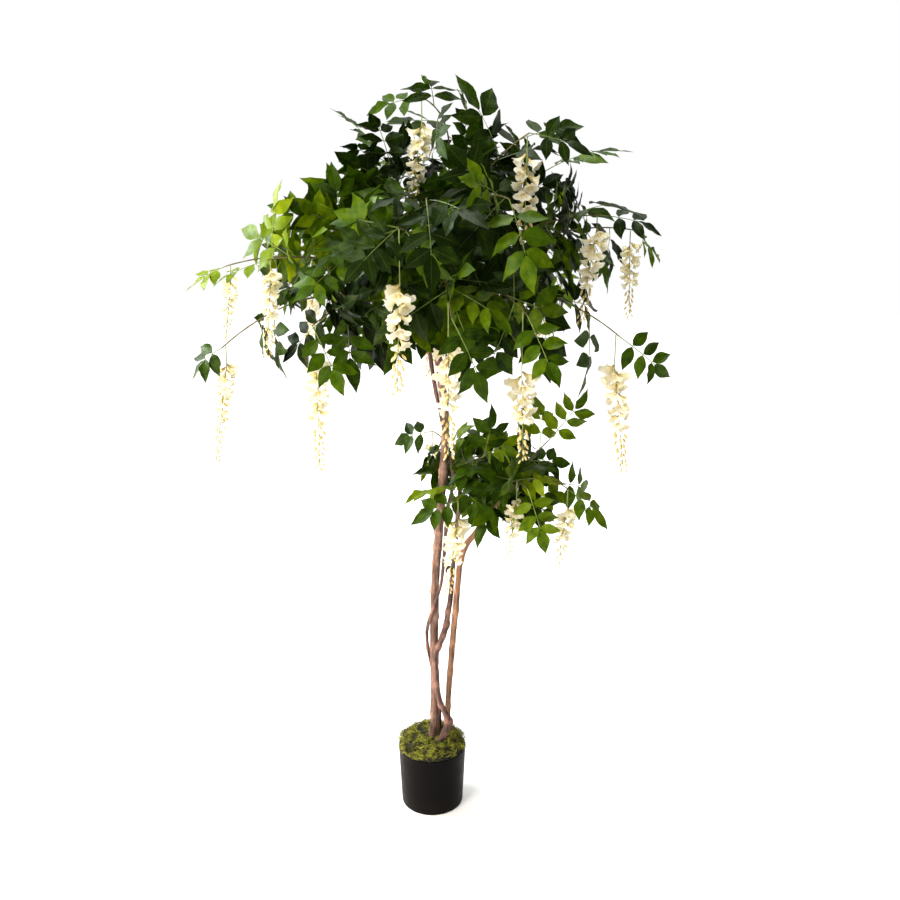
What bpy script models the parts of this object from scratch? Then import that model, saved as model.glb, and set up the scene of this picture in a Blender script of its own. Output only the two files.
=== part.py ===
"""Artificial wisteria tree standing in a plastic nursery pot.

Four natural-wood stems are cast into a cement plug inside the pot and twist round each other as they rise.
Wire twigs sit in holes drilled in the stems. Each twig carries compound leaves, and cream flower racemes hang
from the twigs. The crown spreads from the top of the tallest stem, and a smaller tuft grows from the side stems.

Metres, +Z up. The origin is the middle of the pot's flat underside. -Y is the front of the tree.
"""

import math
import random
from collections import namedtuple

import bmesh
import bpy
from mathutils import Matrix, Vector
from mathutils.bvhtree import BVHTree

# Driving dimensions of the pot and its filling
POT_HEIGHT = 0.160
POT_RIM_RADIUS = 0.087
POT_BASE_RADIUS = 0.0795
POT_WALL = 0.0022
POT_STEPS = 32
PLUG_TOP = 0.120
MOSS_RISE = 0.026
MOSS_OVERHANG = 0.002

# Driving dimensions of what grows above it
TREE_HEIGHT = 1.800
GAP = 0.0003
SOCKET_DEPTH = 0.005
TWIG_ROOT_RADIUS = 0.0024
TWIG_TIP_RADIUS = 0.0014
TWIG_POINTS = 7
LEAF_LENGTH = 0.190
LEAF_LENGTH_LOWER = 0.155
LEAF_THICKNESS = 0.0022
LEAF_TRIES = 160
SEED = 20000
SEVEN_FROM = 0.15
SEVEN_BEYOND = 0.12
VIEWER = (0.05, 2.15, 1.50)
SIGHT_LENGTH = 0.50
SIGHT_SHARE = 0.72
CLEARANCE_SCALE = 1.04
CLEARANCE = 0.0010
PETIOLE_FACES = 7
PEDUNCLE_RADIUS = 0.0013
RACEME_SIDES = 6
RACEME_RINGS = 12
PEDUNCLE_RINGS = 2
UP = Vector((0, 0, 1))
UPPER_CENTRE = Vector((0.02, 0.00, 1.34))
LOWER_CENTRE = Vector((0.17, 0.01, 0.86))
FRONT_AND_BACK = Vector((1.0, 2.2, 1.0))

# Each stem runs through these centre points, with the radius of the wood there: x, y, z, radius
STEMS = {
    "main_trunk": [
        (0.001, 0.000, 0.030, 0.0115), (0.002, 0.000, 0.155, 0.0115), (0.006, 0.000, 0.234, 0.0106),
        (0.008, 0.000, 0.343, 0.0100), (0.006, 0.000, 0.413, 0.0096), (0.008, 0.000, 0.564, 0.0093),
        (0.013, 0.000, 0.665, 0.0095), (0.022, 0.000, 0.777, 0.0093), (0.031, 0.000, 0.907, 0.0092),
        (0.036, 0.000, 1.030, 0.0090), (0.026, 0.000, 1.118, 0.0088), (0.019, 0.000, 1.179, 0.0086),
        (0.007, 0.002, 1.240, 0.0086), (0.004, 0.004, 1.330, 0.0084), (0.010, 0.004, 1.450, 0.0078),
    ],
    "twining_vine": [
        (0.022, 0.026, 0.030, 0.0042), (0.021, 0.026, 0.155, 0.0042), (0.020, 0.027, 0.213, 0.0042),
        (0.018, 0.027, 0.271, 0.0042), (0.004, 0.021, 0.346, 0.0040), (-0.008, 0.009, 0.417, 0.0040),
        (-0.012, -0.004, 0.467, 0.0042), (-0.009, -0.010, 0.500, 0.0042), (0.001, -0.016, 0.538, 0.0040),
        (0.014, -0.016, 0.576, 0.0040), (0.026, -0.008, 0.621, 0.0040), (0.034, 0.002, 0.709, 0.0042),
        (0.040, 0.002, 0.798, 0.0044), (0.053, 0.000, 0.864, 0.0044), (0.049, 0.008, 0.922, 0.0042),
        (0.037, 0.018, 0.972, 0.0042), (0.022, 0.013, 1.045, 0.0044), (0.009, 0.008, 1.116, 0.0046),
        (0.000, 0.002, 1.179, 0.0050), (-0.009, 0.000, 1.221, 0.0052), (-0.015, 0.000, 1.286, 0.0054),
        (-0.016, 0.000, 1.360, 0.0052),
    ],
    "side_vine": [
        (0.010, -0.026, 0.030, 0.0070), (0.011, -0.025, 0.150, 0.0070), (0.030, -0.025, 0.202, 0.0078),
        (0.042, -0.021, 0.233, 0.0086), (0.034, -0.020, 0.262, 0.0078), (0.021, -0.023, 0.293, 0.0076),
        (0.013, -0.023, 0.332, 0.0076), (0.010, -0.021, 0.387, 0.0076), (0.012, -0.019, 0.430, 0.0074),
        (0.024, -0.012, 0.460, 0.0074), (0.035, 0.000, 0.488, 0.0072), (0.042, 0.007, 0.529, 0.0066),
        (0.048, 0.013, 0.567, 0.0062), (0.052, 0.014, 0.613, 0.0060), (0.054, 0.012, 0.651, 0.0060),
        (0.059, 0.011, 0.706, 0.0056), (0.064, 0.010, 0.766, 0.0054), (0.071, 0.010, 0.836, 0.0052),
        (0.074, 0.010, 0.905, 0.0050),
    ],
    "side_pole": [
        (0.041, 0.023, 0.030, 0.0074), (0.040, 0.022, 0.155, 0.0074), (0.042, 0.016, 0.277, 0.0074),
        (0.049, 0.010, 0.394, 0.0076), (0.058, 0.000, 0.509, 0.0076), (0.066, -0.002, 0.604, 0.0076),
        (0.072, -0.002, 0.665, 0.0074), (0.086, 0.000, 0.710, 0.0072), (0.107, 0.000, 0.738, 0.0068),
        (0.125, 0.000, 0.767, 0.0064), (0.144, 0.000, 0.795, 0.0060), (0.166, 0.002, 0.822, 0.0056),
    ],
}
STEM_RINGS = {"main_trunk": 27, "twining_vine": 40, "side_vine": 34, "side_pole": 18}
STEM_BEVEL = {"main_trunk": 2, "twining_vine": 1, "side_vine": 2, "side_pole": 2}
STUB_BASE = (0.053, 0.011, 0.640)
STUB_TIP = (0.034, 0.000, 0.655)

# The twigs that each stem carries. A twig leaves its stem at a height and ends at its tip. bow moves its middle off
# the straight line. Its end leaf runs from the tip to the point called end, and looks towards face.
Spray = namedtuple("Spray", "stem height tip bow end face leaves")
TWIGS = {
    "twining_vine": {
        "left_low": (1.265, (-0.47, -0.07, 1.208), (0, 0, 0.085), (-0.545, -0.09, 1.17), (0.3, -0.5, 0.9), 6),
        "far_left": (1.318, (-0.458, -0.03, 1.388), (0, 0, 0.05), (-0.54, -0.05, 1.36), (0, -0.3, 1), 4),
        "left_middle": (1.3, (-0.35, -0.11, 1.405), (0, 0, 0.04), (-0.475, -0.13, 1.372), (0, -0.4, 1), 6),
        "left_upper": (1.345, (-0.215, -0.05, 1.47), (0, 0, 0.02), (-0.355, -0.06, 1.531), (0.2, -1, 0.3), 6),
        "left_underside": (1.235, (-0.245, -0.19, 1.272), (0, 0, 0.06), (-0.175, -0.27, 1.15), (0.1, -1, 0.2), 6),
    },
    "main_trunk": {
        "front_left": (1.322, (-0.055, -0.3, 1.475), (0, 0, 0.04), (-0.15, -0.385, 1.395), (0, -1, 0.6), 6),
        "front_high": (1.403, (0, -0.28, 1.53), (0, 0, 0.04), (0.022, -0.4, 1.385), (0.1, -1, 0.5), 5),
        "front_middle": (1.29, (0.05, -0.31, 1.3), (0, 0, 0.08), (0.133, -0.36, 1.15), (0, -1, 0.2), 6),
        "front_right": (1.248, (0.205, -0.245, 1.3), (0, 0, 0.07), (0.272, -0.3, 1.162), (0, -1, 0.2), 6),
        "left_front": (1.374, (-0.16, -0.185, 1.42), (0, 0, 0.06), (-0.278, -0.26, 1.332), (-0.2, -1, 0.5), 6),
        "top_front": (1.416, (0.165, -0.24, 1.53), (0, 0, 0.05), (0.215, -0.355, 1.38), (0.1, -1, 0.4), 6),
        "top_right": (1.394, (0.215, -0.09, 1.668), (0, 0, 0.04), (0.348, -0.12, 1.645), (0, -0.8, 0.7), 7),
        "right_low": (1.262, (0.42, -0.12, 1.24), (0, 0, 0.08), (0.55, -0.135, 1.15), (0.1, -1, 0.4), 6),
        "right_middle": (1.334, (0.375, -0.075, 1.5), (0, 0, 0.04), (0.515, -0.1, 1.485), (0, -0.6, 0.9), 6),
        "right_back": (1.302, (0.48, 0.08, 1.465), (0, 0, 0.06), (0.57, 0.13, 1.4), (0, -0.7, 0.8), 7),
        "right_upper": (1.364, (0.27, 0.11, 1.6), (0, 0, 0.01), (0.45, 0.13, 1.704), (-0.5, -0.2, 0.87), 7),
        "top_arch": (1.439, (-0.02, 0.01, 1.752), (0.05, 0.045, 0.06), (-0.135, 0, 1.735), (0, -0.5, 1), 5),
        "top_spike": (1.428, (0.078, 0.045, 1.64), (0.01, -0.015, -0.01), (0.096, 0.065, 1.797), (1, -0.3, 0), 7),
        "top_left": (1.419, (-0.1, 0.09, 1.625), (0, 0, 0), (-0.201, 0.12, 1.765), (0.8, -0.2, 0.57), 7),
        "upper_left": (1.384, (-0.14, 0.03, 1.57), (0, 0, 0.01), (-0.29, 0.04, 1.64), (0.1, -1, 0.5), 7),
        "inner_front": (1.354, (0.1, -0.16, 1.38), (0, 0, 0.06), (0.15, -0.25, 1.26), (0.2, -1, 0.3), 5),
        "back_left": (1.344, (-0.31, 0.16, 1.385), (0, 0, 0.06), (-0.4, 0.26, 1.29), (-0.3, 1, 0.4), 6),
        "back_middle": (1.28, (-0.01, 0.32, 1.38), (0, 0, 0.08), (-0.02, 0.44, 1.26), (0, 1, 0.5), 6),
        "back_high": (1.408, (0.09, 0.26, 1.53), (0, 0, 0.05), (0.13, 0.4, 1.45), (0, 1, 0.8), 6),
        "back_right": (1.312, (0.29, 0.26, 1.4), (0, 0, 0.06), (0.38, 0.36, 1.28), (0.2, 1, 0.4), 6),
        "back_low": (1.236, (-0.15, 0.19, 1.27), (0, 0, 0.06), (-0.21, 0.29, 1.15), (-0.2, 1, 0.3), 5),
    },
    "side_vine": {
        "lower_left": (0.87, (0, 0.12, 0.97), (0, 0, 0.03), (-0.1, 0.14, 0.95), (0, -0.7, 0.7), 2),
        "lower_top": (0.89, (0.125, -0.045, 0.945), (0, 0, 0.01), (0.155, -0.08, 1.067), (0.2, -1, 0), 4),
        "lower_front": (0.845, (0.065, -0.1, 0.855), (0, 0, 0.03), (-0.03, -0.13, 0.838), (0, -0.9, 0.7), 2),
    },
    "side_pole": {
        "lower_far": (0.815, (0.28, -0.02, 0.98), (0, 0, 0.01), (0.374, -0.04, 1.101), (0, -1, 0.1), 5),
        "lower_right": (0.805, (0.325, -0.1, 0.88), (0, 0, 0.05), (0.415, -0.13, 0.82), (0, -0.5, 0.9), 5),
        "lower_hanging": (0.78, (0.225, -0.12, 0.89), (0, 0, 0.05), (0.272, -0.17, 0.75), (0, -1, 0.2), 5),
        "lower_back": (0.795, (0.21, 0.14, 0.93), (0, 0, 0.04), (0.28, 0.24, 0.86), (0.3, 1, 0.4), 5),
    },
}
SPRAYS = {name: Spray(stem, *row) for stem, rows in TWIGS.items() for name, row in rows.items()}

# A raceme hangs from the spray of its name, at share t of the twig. top is the height of its first flowers,
# length runs from there down to the last bud, and lean moves the last bud across and back.
Raceme = namedtuple("Raceme", "spray t top length radius lean")
RACEME_ROWS = {
    "top_arch": (0.98, 1.695, 0.200, 0.030, (-0.030, 0.000)),
    "top_right": (0.98, 1.625, 0.215, 0.034, (-0.004, -0.010)),
    "right_middle": (0.98, 1.470, 0.195, 0.030, (-0.030, -0.010)),
    "right_back": (0.98, 1.435, 0.170, 0.027, (0.006, 0.000)),
    "right_low": (0.98, 1.175, 0.240, 0.032, (0.030, -0.005)),
    "front_right": (0.96, 1.180, 0.185, 0.032, (0.006, -0.005)),
    "front_middle": (0.85, 1.240, 0.230, 0.032, (0.000, -0.010)),
    "front_left": (0.97, 1.365, 0.210, 0.032, (-0.008, -0.010)),
    "left_underside": (0.98, 1.205, 0.245, 0.030, (0.000, 0.000)),
    "left_middle": (0.98, 1.385, 0.185, 0.028, (-0.016, 0.000)),
    "far_left": (0.98, 1.365, 0.145, 0.020, (-0.020, 0.000)),
    "left_low": (0.98, 1.170, 0.225, 0.024, (-0.038, 0.000)),
    "back_left": (0.96, 1.300, 0.155, 0.022, (-0.020, 0.010)),
    "back_middle": (0.97, 1.300, 0.220, 0.030, (0.000, 0.015)),
    "back_right": (0.97, 1.320, 0.210, 0.030, (0.010, 0.010)),
    "lower_left": (0.96, 0.940, 0.100, 0.018, (0.000, 0.000)),
    "lower_right": (0.97, 0.840, 0.150, 0.024, (-0.018, 0.000)),
    "lower_hanging": (0.75, 0.850, 0.145, 0.022, (-0.020, -0.005)),
    "lower_front": (0.95, 0.810, 0.185, 0.028, (-0.025, 0.000)),
    "lower_back": (0.96, 0.880, 0.160, 0.024, (0.010, 0.010)),
}
RACEMES = {name: Raceme(name, *row) for name, row in RACEME_ROWS.items()}

# Outline of a compound leaf, as shares of its length. pairs: where each pair of leaflets sits on the midrib, and
# the angle in degrees between leaflet and midrib. length and half_width: of one leaflet.
Outline = namedtuple("Outline", "pairs length half_width")
FIVE_LEAFLETS = Outline(((0.27, 63), (0.50, 52)), 0.41, 0.100)
SEVEN_LEAFLETS = Outline(((0.22, 66), (0.41, 59), (0.58, 50)), 0.35, 0.086)
MIDRIB_HALF_WIDTH = 0.007
LEAFLET_STALK_HALF_WIDTH = 0.018
LEAFLET_WIDEST = 0.45
END_LEAFLET_WIDTH = 0.80

COLOURS = {
    "pot": ((0.018, 0.016, 0.015), 0.45),
    "filler_plug": ((0.32, 0.30, 0.27), 0.90),
    "moss": ((0.20, 0.24, 0.03), 0.95),
    "wood": ((0.26, 0.14, 0.09), 0.80),
    "dark_wood": ((0.12, 0.06, 0.05), 0.85),
    "leaf": ((0.03, 0.09, 0.015), 0.45),
    "petal": ((0.85, 0.78, 0.55), 0.70),
}


def clear_scene():
    for obj in list(bpy.data.objects):
        bpy.data.objects.remove(obj)


def collection(name, shown):
    made = bpy.data.collections.new(name)
    bpy.context.scene.collection.children.link(made)
    made.hide_render = not shown
    return made


def material(name):
    colour, roughness = COLOURS[name]
    made = bpy.data.materials.get(name) or bpy.data.materials.new(name)
    made.use_nodes = True
    shader = made.node_tree.nodes["Principled BSDF"]
    shader.inputs["Base Color"].default_value = (*colour, 1)
    shader.inputs["Roughness"].default_value = roughness
    shader.inputs["Metallic"].default_value = 0
    return made


def add_object(name, mesh, home, finish=None):
    obj = bpy.data.objects.new(name, mesh)
    home.objects.link(obj)
    if finish:
        obj.data.materials.clear()
        obj.data.materials.append(material(finish))
    return obj


def add_modifier(obj, name, kind, **settings):
    made = obj.modifiers.new(name, kind)
    for key, value in settings.items():
        setattr(made, key, value)
    return made


def boolean(obj, other, operation):
    """Joins or cuts obj with other for good, and removes other."""
    add_modifier(obj, operation.lower(), "BOOLEAN", object=other, operation=operation)
    bpy.context.view_layer.update()
    graph = bpy.context.evaluated_depsgraph_get()
    result = bpy.data.meshes.new_from_object(obj.evaluated_get(graph))
    obj.modifiers.clear()
    obj.data = result
    bpy.data.objects.remove(other)


def smooth_path(points, count):
    """count points, evenly spread over a Catmull-Rom curve through the given points."""
    points = [Vector(p) for p in points]
    ends = [points[0] * 2 - points[1], *points, points[-1] * 2 - points[-2]]
    spans = len(points) - 1
    path = []
    for i in range(count):
        position = i * spans / (count - 1)
        span = min(int(position), spans - 1)
        t = position - span
        a, b, c, d = ends[span : span + 4]
        path.append(
            0.5 * ((2 * b) + (c - a) * t + (2 * a - 5 * b + 4 * c - d) * t**2 + (3 * b - a - 3 * c + d) * t**3)
        )
    return path


def tube(name, path, radii, sides_level, home):
    """A closed tube along a path, as a mesh with its caps welded on."""
    curve = bpy.data.curves.new(name, "CURVE")
    curve.dimensions = "3D"
    curve.bevel_depth = 1
    curve.bevel_resolution = sides_level
    curve.use_fill_caps = True
    spline = curve.splines.new("POLY")
    spline.points.add(len(path) - 1)
    for point, place, radius in zip(spline.points, path, radii):
        point.co = (*place, 1)
        point.radius = radius
    source = add_object(name + "_line", curve, home)
    bpy.context.view_layer.update()
    graph = bpy.context.evaluated_depsgraph_get()
    mesh = bpy.data.meshes.new_from_object(source.evaluated_get(graph))
    shape = bmesh.new()
    shape.from_mesh(mesh)
    bmesh.ops.remove_doubles(shape, verts=shape.verts, dist=0.00001)
    shape.to_mesh(mesh)
    shape.free()
    made = add_object(name, mesh, home)
    made.matrix_world = source.matrix_world
    bpy.data.objects.remove(source)
    return made


def turned(name, profile, steps, home, finish):
    """A solid turned about Z. The profile runs from the top of the axis down the outer side."""
    mesh = bpy.data.meshes.new(name)
    edges = [(i, i + 1) for i in range(len(profile) - 1)]
    mesh.from_pydata([(radius, 0, height) for radius, height in profile], edges, [])
    obj = add_object(name, mesh, home, finish)
    add_modifier(
        obj, "turn", "SCREW", steps=steps, render_steps=steps, use_merge_vertices=True, merge_threshold=0.00005
    )
    return obj


def make_pot(home):
    inner_base = POT_BASE_RADIUS - POT_WALL
    inner_rim = POT_RIM_RADIUS - POT_WALL
    chamfer = 0.004
    profile = [
        (0, POT_WALL),
        (inner_base - chamfer, POT_WALL),
        (inner_base, POT_WALL + chamfer),
        (inner_rim, POT_HEIGHT - 0.001),
        (inner_rim + POT_WALL / 2, POT_HEIGHT),
        (POT_RIM_RADIUS, POT_HEIGHT - 0.001),
        (POT_BASE_RADIUS, chamfer),
        (POT_BASE_RADIUS - chamfer, 0),
        (0, 0),
    ]
    return turned("pot", profile, POT_STEPS, home, "pot")


def pot_inside(height):
    """Radius of the pot's inner wall at a height."""
    share = height / POT_HEIGHT
    outside = POT_BASE_RADIUS + (POT_RIM_RADIUS - POT_BASE_RADIUS) * share
    return outside - POT_WALL


def make_plug(home):
    """The cement cast in the pot, which weighs it down and holds the stems."""
    floor = POT_WALL + GAP
    clear = 0.0008
    profile = [
        (0, PLUG_TOP),
        (pot_inside(PLUG_TOP) - clear, PLUG_TOP),
        (pot_inside(floor + 0.006) - clear, floor + 0.006),
        (pot_inside(floor) - clear - 0.006, floor),
        (0, floor),
    ]
    return turned("filler_plug", profile, POT_STEPS, home, "filler_plug")


def moss_height(x, y, share):
    """Rise of the moss surface above the rim, share running from 0 in the middle to 1 at the pot's wall."""
    dome = MOSS_RISE * (1 - 0.45 * share**3)
    lumps = 0.0045 * math.sin(95 * x + 1.3) * math.cos(88 * y - 0.6) + 0.003 * math.sin(150 * y + 120 * x)
    return dome + lumps


def make_moss(home):
    """The pad of moss that hides the cement, domed above the rim."""
    rings = 6
    sides = POT_STEPS
    shape = bmesh.new()
    bmesh.ops.create_uvsphere(shape, u_segments=sides, v_segments=rings + 3, radius=1)
    bottom = PLUG_TOP + GAP
    neck = POT_HEIGHT + 0.004
    clear = 0.0008
    for vert in shape.verts:
        polar = math.acos(max(-1, min(1, vert.co.z)))
        ring = round(polar * (rings + 3) / math.pi)
        around = Vector((vert.co.x, vert.co.y, 0))
        around = around.normalized() if around.length > 0.001 else around
        if ring <= rings:
            share = ring / rings
            radius = (POT_RIM_RADIUS + MOSS_OVERHANG) * math.sin(share * math.pi / 2) ** 0.9
            spot = around * radius
            vert.co = spot + UP * (neck + moss_height(spot.x, spot.y, share) * (1 - share**4))
        elif ring == rings + 1:
            vert.co = around * (pot_inside(POT_HEIGHT) - clear) + UP * (POT_HEIGHT + 0.001)
        elif ring == rings + 2:
            vert.co = around * (pot_inside(bottom) - clear) + UP * bottom
        else:
            vert.co = UP * bottom
    mesh = bpy.data.meshes.new("moss")
    shape.to_mesh(mesh)
    shape.free()
    return add_object("moss", mesh, home, "moss")


def stem_rings(name):
    """Centre points and radii of a stem, ring by ring."""
    count = STEM_RINGS[name]
    centres = smooth_path([p[:3] for p in STEMS[name]], count)
    widths = smooth_path([(p[3], 0, 0) for p in STEMS[name]], count)
    return centres, [w.x for w in widths]


def stem_at(name, height):
    """Centre and radius of a stem at a height."""
    centres, radii = stem_rings(name)
    for low, high, low_radius, high_radius in zip(centres, centres[1:], radii, radii[1:]):
        if low.z <= height <= high.z:
            t = (height - low.z) / (high.z - low.z)
            return low.lerp(high, t), low_radius + (high_radius - low_radius) * t
    raise ValueError(f"{name} does not reach {height}")


def twig_point(spray, t):
    root, _ = stem_at(spray.stem, spray.height)
    return root.lerp(Vector(spray.tip), t) + Vector(spray.bow) * (4 * t * (1 - t))


def twig_direction(spray, t):
    root, _ = stem_at(spray.stem, spray.height)
    return ((Vector(spray.tip) - root) + Vector(spray.bow) * (4 * (1 - 2 * t))).normalized()


def twig_radius(t):
    return TWIG_ROOT_RADIUS + (TWIG_TIP_RADIUS - TWIG_ROOT_RADIUS) * t


def twig_times(spray):
    """Shares of a twig at its points, from the bottom of its socket to its tip."""
    _, radius = stem_at(spray.stem, spray.height)
    root = twig_point(spray, 0)
    start = 0
    while (twig_point(spray, start) - root).length < radius - SOCKET_DEPTH:
        start += 0.001
    return [start + (1 - start) * i / (TWIG_POINTS - 1) for i in range(TWIG_POINTS)]


def twig_path(spray):
    times = twig_times(spray)
    return [twig_point(spray, t) for t in times], [twig_radius(t) for t in times]


def twig_underside(spray, t):
    """The point just under a twig where a raceme can hang."""
    times = twig_times(spray)
    for low, high in zip(times, times[1:]):
        if low <= t <= high:
            start, end = twig_point(spray, low), twig_point(spray, high)
            along = end - start
            level = along.xy.length / along.length
            centre = start.lerp(end, (t - low) / (high - low))
            return centre - UP * (twig_radius(low) / level + GAP)
    raise ValueError(f"the twig has no point at {t}")


def leaf_shape(outline, length, droop, scale=1, swell=0.0, end_width=END_LEAFLET_WIDTH):
    """A compound leaf as one thin solid that points along +Y, face up: pairs of leaflets and an end leaflet.

    Returns its points and faces. The midrib's section is a flat-topped triangle, and the leaflets' edges are thin.
    scale widens the leaflets and swell thickens the leaf, to give a stand-in that keeps others at a distance.
    end_width is the end leaflet's width against the others', which keeps it clear of the last pair.
    """
    points, faces = [], []

    def add(across, along, sink=-swell):
        fall = droop * length * (along**2 + 0.9 * across**2)
        points.append(Vector((across * length, along * length, -fall - sink)))
        return len(points) - 1

    def add_station(along):
        keel = LEAF_THICKNESS + swell
        return add(-MIDRIB_HALF_WIDTH, along), add(MIDRIB_HALF_WIDTH, along), add(0, along, keel)

    def add_tip(along, angle, side):
        """The two widest points and the tip of a leaflet that starts at a place on the midrib."""
        reach = outline.length * scale
        width = outline.half_width * scale
        sine, cosine = math.sin(math.radians(angle)), math.cos(math.radians(angle))
        middle = LEAFLET_WIDEST * reach
        near = add(side * (middle * sine + width * cosine), along + middle * cosine - width * sine, 0)
        far = add(side * (middle * sine - width * cosine), along + middle * cosine + width * sine, 0)
        return near, add(side * reach * sine, along + reach * cosine, 0), far

    def add_midrib(low, high):
        faces.extend([(low[0], low[1], high[1]), (low[0], high[1], high[0])])

    def add_bare_midrib(low, high):
        add_midrib(low, high)
        faces.extend([(low[0], high[0], high[2]), (low[0], high[2], low[2])])
        faces.extend([(low[1], low[2], high[2]), (low[1], high[2], high[1])])

    def add_left_leaflet(low, high, near, tip, far):
        faces.extend([(low[0], high[0], far), (low[0], far, tip), (low[0], tip, near)])
        faces.extend([(far, high[0], high[2]), (tip, far, high[2]), (tip, high[2], low[2])])
        faces.extend([(near, tip, low[2]), (low[0], near, low[2])])

    def add_right_leaflet(low, high, near, tip, far):
        faces.extend([(high[1], low[1], far), (far, low[1], tip), (tip, low[1], near)])
        faces.extend([(high[1], far, high[2]), (far, tip, high[2]), (high[2], tip, low[2])])
        faces.extend([(tip, near, low[2]), (near, low[1], low[2])])

    before = add_station(0)
    faces.append((before[0], before[2], before[1]))
    for along, angle in outline.pairs:
        low = add_station(along - LEAFLET_STALK_HALF_WIDTH)
        high = add_station(along + LEAFLET_STALK_HALF_WIDTH)
        add_bare_midrib(before, low)
        add_midrib(low, high)
        add_left_leaflet(low, high, *add_tip(along, angle, -1))
        add_right_leaflet(low, high, *add_tip(along, angle, 1))
        before = high
    left, right, keel = before
    widest = outline.pairs[-1][0] + 0.45 * (1 - outline.pairs[-1][0])
    shoulder_left = add(-outline.half_width * scale * end_width, widest, 0)
    shoulder_right = add(outline.half_width * scale * end_width, widest, 0)
    tip = add(0, 1, 0)
    faces.extend([(left, right, tip), (left, tip, shoulder_left), (right, shoulder_right, tip)])
    faces.extend([(keel, left, shoulder_left), (keel, shoulder_left, tip)])
    faces.extend([(right, keel, shoulder_right), (keel, tip, shoulder_right)])
    return points, faces


def leaf_matrix(base, direction, face):
    """Places a leaf whose base is at a point, with its own +Y along direction and its face turned to face."""
    along = direction.normalized()
    normal = (face - along * face.dot(along)).normalized()
    across = along.cross(normal)
    return Matrix.Translation(base) @ Matrix((across, along, normal)).transposed().to_4x4()


def surface_tree(points, faces):
    return BVHTree.FromPolygons([tuple(p) for p in points], faces, all_triangles=False)


def tree_of_object(obj):
    mesh = obj.data
    points = [obj.matrix_world @ v.co for v in mesh.vertices]
    return surface_tree(points, [tuple(p.vertices) for p in mesh.polygons])


def is_lower(name):
    return name.startswith("lower")


def try_leaf(name, spray, number, dice):
    """One way to grow leaf number on a twig: its base, direction, face and length. The last is the end leaf."""
    last = spray.leaves - 1
    t = 1.0
    if number < last:
        t = min(0.97, 0.24 + 0.76 * number / last + dice.uniform(-0.06, 0.06))
    base = twig_point(spray, t)
    centre = LOWER_CENTRE if is_lower(name) else UPPER_CENTRE
    outward = ((base - centre) * FRONT_AND_BACK).normalized()
    jitter = Vector([dice.uniform(-0.45, 0.45) for _ in range(3)])
    if number == last:
        direction = Vector(spray.end) - base
        return base, direction, Vector(spray.face) + jitter * 0.5, direction.length
    face = outward + UP * 0.3 + jitter * (1.6 if outward.z > 0.6 else 1)
    forward = twig_direction(spray, t)
    sideways = forward.cross(UP).normalized()
    lift = sideways.cross(forward)
    around = math.pi * (number % 2) + dice.uniform(-1.1, 1.1)
    spread = math.radians(dice.uniform(35, 80))
    direction = forward * math.cos(spread)
    direction += (sideways * math.cos(around) + lift * math.sin(around)) * math.sin(spread)
    direction -= UP * dice.uniform(0.15, 0.95) * min(1, 1.1 - outward.z)
    full = LEAF_LENGTH_LOWER if is_lower(name) else LEAF_LENGTH
    return base, direction, face, full * dice.uniform(0.80, 1.05)


def grow_leaves(name, spray, obstacles, dice):
    """The leaves of one spray, each as (matrix, outline, length, droop), turned until it is clear of the rest."""
    grown = []
    for number in list(range(spray.leaves))[::-1]:
        last = number == spray.leaves - 1
        others = [(owner, tree) for owner, tree in obstacles if not (last and owner == "sight")]
        for _ in range(LEAF_TRIES):
            base, direction, face, length = try_leaf(name, spray, number, dice)
            droop = dice.uniform(0.10, 0.30)
            seven = (last and length > SEVEN_FROM) or abs(base.y) > SEVEN_BEYOND
            outline = SEVEN_LEAFLETS if seven else FIVE_LEAFLETS
            matrix = leaf_matrix(base, direction, face)
            points, faces = leaf_shape(outline, length, droop, CLEARANCE_SCALE, CLEARANCE, 1.0)
            points = [matrix @ p for p in points]
            if max(p.z for p in points) > TREE_HEIGHT:
                continue
            tree = surface_tree(points, faces)
            blades = surface_tree(points, faces[PETIOLE_FACES:])
            if any((blades if owner == name else tree).overlap(other) for owner, other in others):
                continue
            grown.append((matrix, outline, length, droop))
            obstacles.append(("leaf", tree))
            break
    return grown


def make_twig(name, spray, home):
    path, radii = twig_path(spray)
    return tube("spray_" + name, path, radii, 1, home)


def add_leaves(twig, leaves, home):
    """Joins a spray's leaves to its twig."""
    points, faces = [], []
    for matrix, outline, length, droop in leaves:
        leaf_points, leaf_faces = leaf_shape(outline, length, droop)
        faces += [tuple(i + len(points) for i in face) for face in leaf_faces]
        points += [matrix @ p for p in leaf_points]
    mesh = bpy.data.meshes.new(twig.name + "_leaves")
    mesh.from_pydata(points, [], faces)
    blades = add_object(twig.name + "_leaves", mesh, home)
    boolean(twig, blades, "UNION")
    twig.data.materials.clear()
    twig.data.materials.append(material("leaf"))


def raceme_axis(raceme, s):
    """Point of a raceme's centre line, s running from 0 at the twig to 1 at the last bud."""
    hook = twig_underside(SPRAYS[raceme.spray], raceme.t)
    first_flowers = Vector((hook.x, hook.y, raceme.top))
    tip = first_flowers + Vector((*raceme.lean, -raceme.length))
    drop = (hook.z - raceme.top) / (hook.z - tip.z)
    if s <= drop:
        return hook.lerp(first_flowers, s / drop)
    return first_flowers.lerp(tip, (s - drop) / (1 - drop))


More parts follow.
